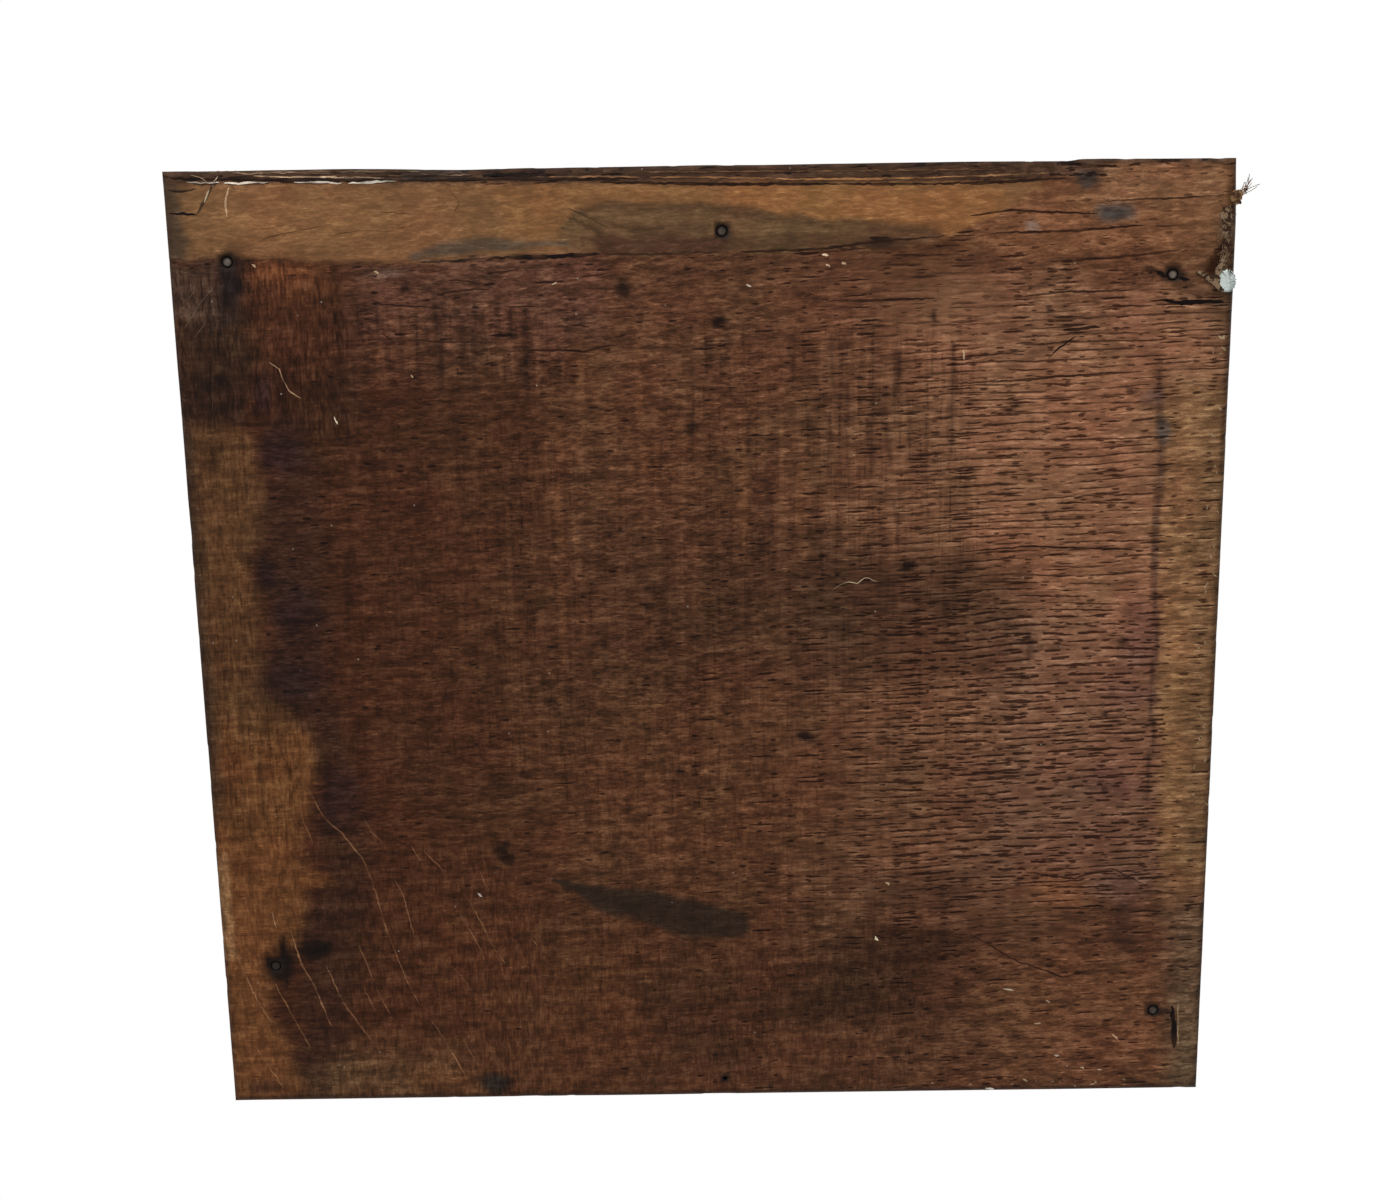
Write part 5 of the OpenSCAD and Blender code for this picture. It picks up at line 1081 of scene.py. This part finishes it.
def paper_material(name, ground, stain, share):
    s = Shader(name)
    mm = s.millimetres()
    patch = s.noise(mm, scale=0.42, detail=4.0, rough=0.6, distortion=0.8)
    fibre = s.noise(mm, scale=3.0, detail=3.0, rough=0.7)
    colour = s.mix(s.ramp(patch, share, share + 0.06), ground, stain)
    colour = s.shade(s.ramp(fibre, 0.5, 0.75, 0.0, 0.45), colour, (0.5, 0.44, 0.36))
    return s.finish(Base_Color=colour, Roughness=s.ramp(fibre, 0.3, 0.7, 0.7, 0.9), Specular_IOR_Level=0.1,
                    Normal=s.bump(fibre, 0.5, 0.0003))


def scrap(name, outline, lift, mat, seed):
    """Torn scrap of paper on the underside: a fan of rings inside a ragged outline given in frame pixels."""
    rng = np.random.RandomState(seed)
    edge = []
    for (x0, y0), (x1, y1) in zip(outline, outline[1:] + outline[:1]):
        for t in np.linspace(0, 1, 7)[:-1]:
            px = x0 + (x1 - x0) * t + rng.normal(0, 0.5)
            edge.append(on_board(px, y0 + (y1 - y0) * t + rng.normal(0, 0.5)))
    edge = np.array(edge)
    middle = edge.mean(0)
    n = len(edge)
    verts, faces = [], []
    for k in SCRAP_RINGS:
        for x, y in middle + (edge - middle) * k:
            curl = lift * k * k * (0.3 + 0.6 * value_noise(np.array(x / 2.5), np.array(y / 2.5), seed))
            verts.append((x / 1000, y / 1000, (PAPER_Z - float(curl)) / 1000))
    verts.append((*(middle / 1000), 0.0002))
    for ring in range(3):
        a, b = ring * n, (ring + 1) * n
        faces += [(a + i, b + i, b + (i + 1) % n, a + (i + 1) % n) for i in range(n)]
    faces += [(3 * n + i, 4 * n, 3 * n + (i + 1) % n) for i in range(n)]
    mesh = bpy.data.meshes.new(name)
    mesh.from_pydata(verts, [], faces)
    mesh.polygons.foreach_set("use_smooth", np.ones(len(faces), bool))
    mesh.materials.append(mat)
    piece = place(name, mesh)
    thick = piece.modifiers.new("thick", "SOLIDIFY")
    thick.thickness = PAPER_THICK / 1000
    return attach(piece, "carcass")


def threads(name, strands, radius, mat):
    """Loose threads as fine tubes through frame points with a height above the underside in millimetres."""
    data = bpy.data.curves.new(name, "CURVE")
    data.dimensions = "3D"
    data.bevel_depth = radius / 1000
    data.bevel_resolution = 1
    for strand in strands:
        line = data.splines.new("NURBS")
        line.points.add(len(strand) - 1)
        line.use_endpoint_u = True
        line.order_u = 3
        for point, (px, py, z) in zip(line.points, strand):
            x, y = on_board(px, py)
            point.co = (x / 1000, y / 1000, z / 1000, 1)
    data.materials.append(mat)
    piece = place(name, data)
    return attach(piece, "carcass")


def frayed_corner():
    torn = paper_material("torn_label", linear(206, 216, 210), linear(64, 112, 110), 0.60)
    brown = paper_material("glue_paper", linear(132, 100, 66), linear(72, 49, 33), 0.47)
    grey = paper_material("peeled_fibre", linear(136, 112, 88), linear(58, 40, 28), 0.48)
    seal = [(1226.5 + (8.6 + 1.2 * (k % 2)) * math.cos(t), 281 + 11.2 * math.sin(t))
            for k, t in enumerate(np.radians(np.arange(-85, 90, 11)))]
    seal += [(1222, 292), (1218, 288), (1220, 282), (1217, 275), (1221, 270)]
    curl = [(1194, 273), (1202, 276), (1210, 283), (1218, 290), (1224, 291), (1219, 283), (1221, 272),
            (1226, 262), (1222, 258), (1216, 268), (1214, 279), (1208, 275), (1201, 271)]
    shred = [(1219, 216), (1227, 208), (1232, 214), (1231, 226), (1227, 236), (1222, 232), (1224, 224)]
    lump = [(1231, 192), (1238, 189), (1243, 194), (1241, 203), (1234, 206), (1230, 200)]
    scrap("label_remnant", seal, 0.04, torn, 3)
    scrap("paper_curl", curl, 0.18, grey, 5)
    scrap("paper_shred", shred, 0.18, grey, 7)
    scrap("glue_lump", lump, 0.1, brown, 9)
    rng = np.random.RandomState(17)
    tuft = []
    for _ in range(TUFT_FIBRES):
        tip = (1249 + rng.normal(0, 3.5), 183 + rng.normal(0, 5), 0.5 + rng.rand())
        mid = (1243 + rng.normal(0, 2.5), 191 + rng.normal(0, 2.5), 0.4 + 0.5 * rng.rand())
        root = (1236 + rng.normal(0, 1), 198 + rng.normal(0, 2), 0.2)
        tuft.append((root, mid, ((mid[0] + tip[0]) / 2 + rng.normal(0, 2), (mid[1] + tip[1]) / 2, 0.5), tip))
    threads("fibre_tuft", tuft, TUFT_RADIUS, brown)
    fray = []
    for _ in range(FRAY_FIBRES):
        cy = rng.uniform(208, 268)
        cx = 1228 - 0.07 * (cy - 208) + rng.normal(0, 2.5)
        ang, run = rng.normal(1.7, 0.6), rng.uniform(2, 6)
        dx, dy = math.cos(ang) * run, math.sin(ang) * run
        top = (cx + rng.normal(0, 2), cy + rng.normal(0, 2), 0.08 + 0.1 * rng.rand())
        fray.append(((cx - dx, cy - dy, 0.2), top, (cx + dx, cy + dy, 0.2)))
    threads("frayed_fibres", fray, FRAY_RADIUS, grey)


# Materials by use; the turn lays the grain along the board
ALONG_X, ALONG_Y, UPRIGHT = (0, 0, 0), (0, 0, -math.pi / 2), (0, math.pi / 2, 0)
CASE = (linear(60, 35, 19), linear(110, 69, 37), 0.48)
EDGES = (linear(46, 28, 18), linear(92, 59, 35), 0.52)
LID = (linear(72, 42, 22), linear(126, 80, 43), 0.42)
INNER = (linear(106, 76, 48), linear(152, 115, 77), 0.6)
FRUITWOOD = (linear(96, 50, 26), linear(150, 88, 44), 0.28)
MATERIALS = {
    "case_x": oak_material("oak_case_x", ALONG_X, *CASE, scuff=0.55, ink=0.7, foot=0.8),
    "case_y": oak_material("oak_case_y", ALONG_Y, *CASE, scuff=0.55, foot=0.8),
    "base_edge": oak_material("oak_base_edge", ALONG_X, *EDGES, wear=0.35, heart=(-30.0, -90.0)),
    "lid_x": oak_material("oak_lid_x", ALONG_X, *LID, heart=(15.0, 20.0), scuff=0.6, ink=0.85),
    "lid_y": oak_material("oak_lid_y", ALONG_Y, *LID, scuff=0.6),
    "inner_x": oak_material("oak_inner_x", ALONG_X, *INNER, pore=0.6, wear=0.4, heart=(40.0, -50.0)),
    "inner_y": oak_material("oak_inner_y", ALONG_Y, *INNER, pore=0.6, wear=0.4, scuff=0.3, ink=0.75),
    "fruitwood": oak_material("fruitwood", UPRIGHT, *FRUITWOOD, pore=0.2, dirt=0.2),
    "brass": metal_material("aged_brass", linear(176, 140, 82), linear(108, 84, 50), 0.3, 0.5, spots=0.25),
    "iron": metal_material("old_iron", linear(88, 80, 73), linear(50, 39, 32), 0.5, 0.75, spots=0.7),
    "steel": metal_material("dull_steel", linear(140, 136, 130), linear(90, 84, 78), 0.3, 0.5),
    "nail": nail_material(),
    "glass": glass_material(),
}
WOODS = {"carcass_oak": "case", "lid_oak": "lid"}
GRAIN_Y = ("left_side", "right_side", "lid_cleat_left", "lid_cleat_right", "drawer_divider",
           "pigeonhole_divider_left", "pigeonhole_divider_middle", "pigeonhole_divider_right", "pen_tray",
           "ink_partition", "left_drawer_side_a", "left_drawer_side_b", "right_drawer_side_a",
           "right_drawer_side_b")
EASED = ("front_board", "back_board", "left_side", "right_side", "top_ledge", "lid_panel", "lid_cleat_left",
         "lid_cleat_right")


def soften(obj, width=0.0006):
    """Eases the sharp edges of a board."""
    weld = obj.modifiers.new("join", "WELD")
    weld.merge_threshold = 1e-5
    bevel = obj.modifiers.new("ease", "BEVEL")
    bevel.width = width
    bevel.segments = 2
    bevel.limit_method = "ANGLE"
    bevel.angle_limit = math.radians(40)
    bevel.harden_normals = True


def dress_nodes():
    slots = {s["node"]: s["material_slot"] for s in frame["record"]["subparts"]}
    for name, obj in frame["nodes"].items():
        kind = "nail" if name == "base_nails" else slots[name]
        if kind not in MATERIALS:
            kind = f"{WOODS.get(kind, 'inner')}_{'y' if name in GRAIN_Y else 'x'}"
        for holder in obj.material_slots:
            holder.material = MATERIALS[kind]


# Stage: lengths of the floor in metres, of its shading in millimetres
FLOOR_HALF, FLOOR_Z = 3.0, -0.0004
OPEN_X, OPEN_Y = 194.0, 181.0
PALE_WITHIN, WHITE_BEYOND = 380.0, 950.0
SKY = 0.5
LAMPS = (("key_above", (-0.8, -1.0, 1.4), (0, 0, 0.08), 0.9, 16),
         ("fill_above", (1.2, -0.3, 0.9), (0, 0, 0.08), 0.9, 6),
         ("back_above", (0.3, 1.2, 1.1), (0, 0, 0.08), 0.9, 6),
         ("key_below", (-0.4, -1.25, -0.6), (0, 0, 0), 0.7, 16))


def seen_rays(s):
    """One for rays of the camera, and for those that reach it by a reflection or through glass."""
    path = s.node("ShaderNodeLightPath").outputs
    return s.most(path["Is Camera Ray"], path["Is Glossy Ray"], path["Is Transmission Ray"])


def add_floor():
    """Pale floor that shows from above only and is open to light under the board."""
    mesh = bpy.data.meshes.new("floor")
    corners = [(x * FLOOR_HALF, y * FLOOR_HALF, FLOOR_Z) for x, y in ((-1, -1), (1, -1), (1, 1), (-1, 1))]
    mesh.from_pydata(corners, [], [(0, 1, 2, 3)])
    s = Shader("pale_floor")
    x, y, _ = s.axes(s.millimetres())
    under = s.mul(s.less(s.size(x), OPEN_X), s.less(s.size(y), OPEN_Y))
    back = s.node("ShaderNodeNewGeometry").outputs["Backfacing"]
    open_to = s.choose(s.node("ShaderNodeLightPath").outputs["Is Camera Ray"], under, back)
    far = s.ramp(s.math("SQRT", s.mad(x, x, s.mul(y, y))), PALE_WITHIN, WHITE_BEYOND)
    near = s.node("ShaderNodeBsdfDiffuse", {"Color": (0.92, 0.92, 0.92)}).outputs[0]
    white = s.node("ShaderNodeEmission", {"Color": (1, 1, 1), "Strength": 1.0}).outputs[0]
    pale = s.node("ShaderNodeMixShader", {0: s.mul(far, seen_rays(s)), 1: near, 2: white}).outputs[0]
    clear = s.node("ShaderNodeBsdfTransparent").outputs[0]
    surface = s.node("ShaderNodeMixShader", {0: open_to, 1: pale, 2: clear}).outputs[0]
    s.node("ShaderNodeOutputMaterial", {"Surface": surface})
    mesh.materials.append(s.owner)
    floor = place("floor", mesh)


def add_light():
    """White all round where it is seen, a weaker plain light elsewhere, and lamps above and below."""
    s = Shader("studio", "worlds")
    scene.world = s.owner
    plain, white = (s.node("ShaderNodeBackground", {0: (1, 1, 1), 1: level}) for level in (SKY, 1.0))
    sky = s.node("ShaderNodeMixShader", {0: seen_rays(s), 1: plain.outputs[0], 2: white.outputs[0]})
    s.node("ShaderNodeOutputWorld", {0: sky.outputs[0]})
    for name, spot, aim, width, power in LAMPS:
        data = bpy.data.lights.new(name, "AREA")
        data.size = width
        data.energy = power
        lamp = place(name, data)
        lamp.location = spot
        lamp.rotation_euler = (Vector(aim) - Vector(spot)).to_track_quat("-Z", "Y").to_euler()


add_camera()
add_floor()
add_light()
dress_nodes()
for name in EASED:
    soften(frame["nodes"][name])
build_base()
frayed_corner()
scene.view_settings.view_transform = "Standard"
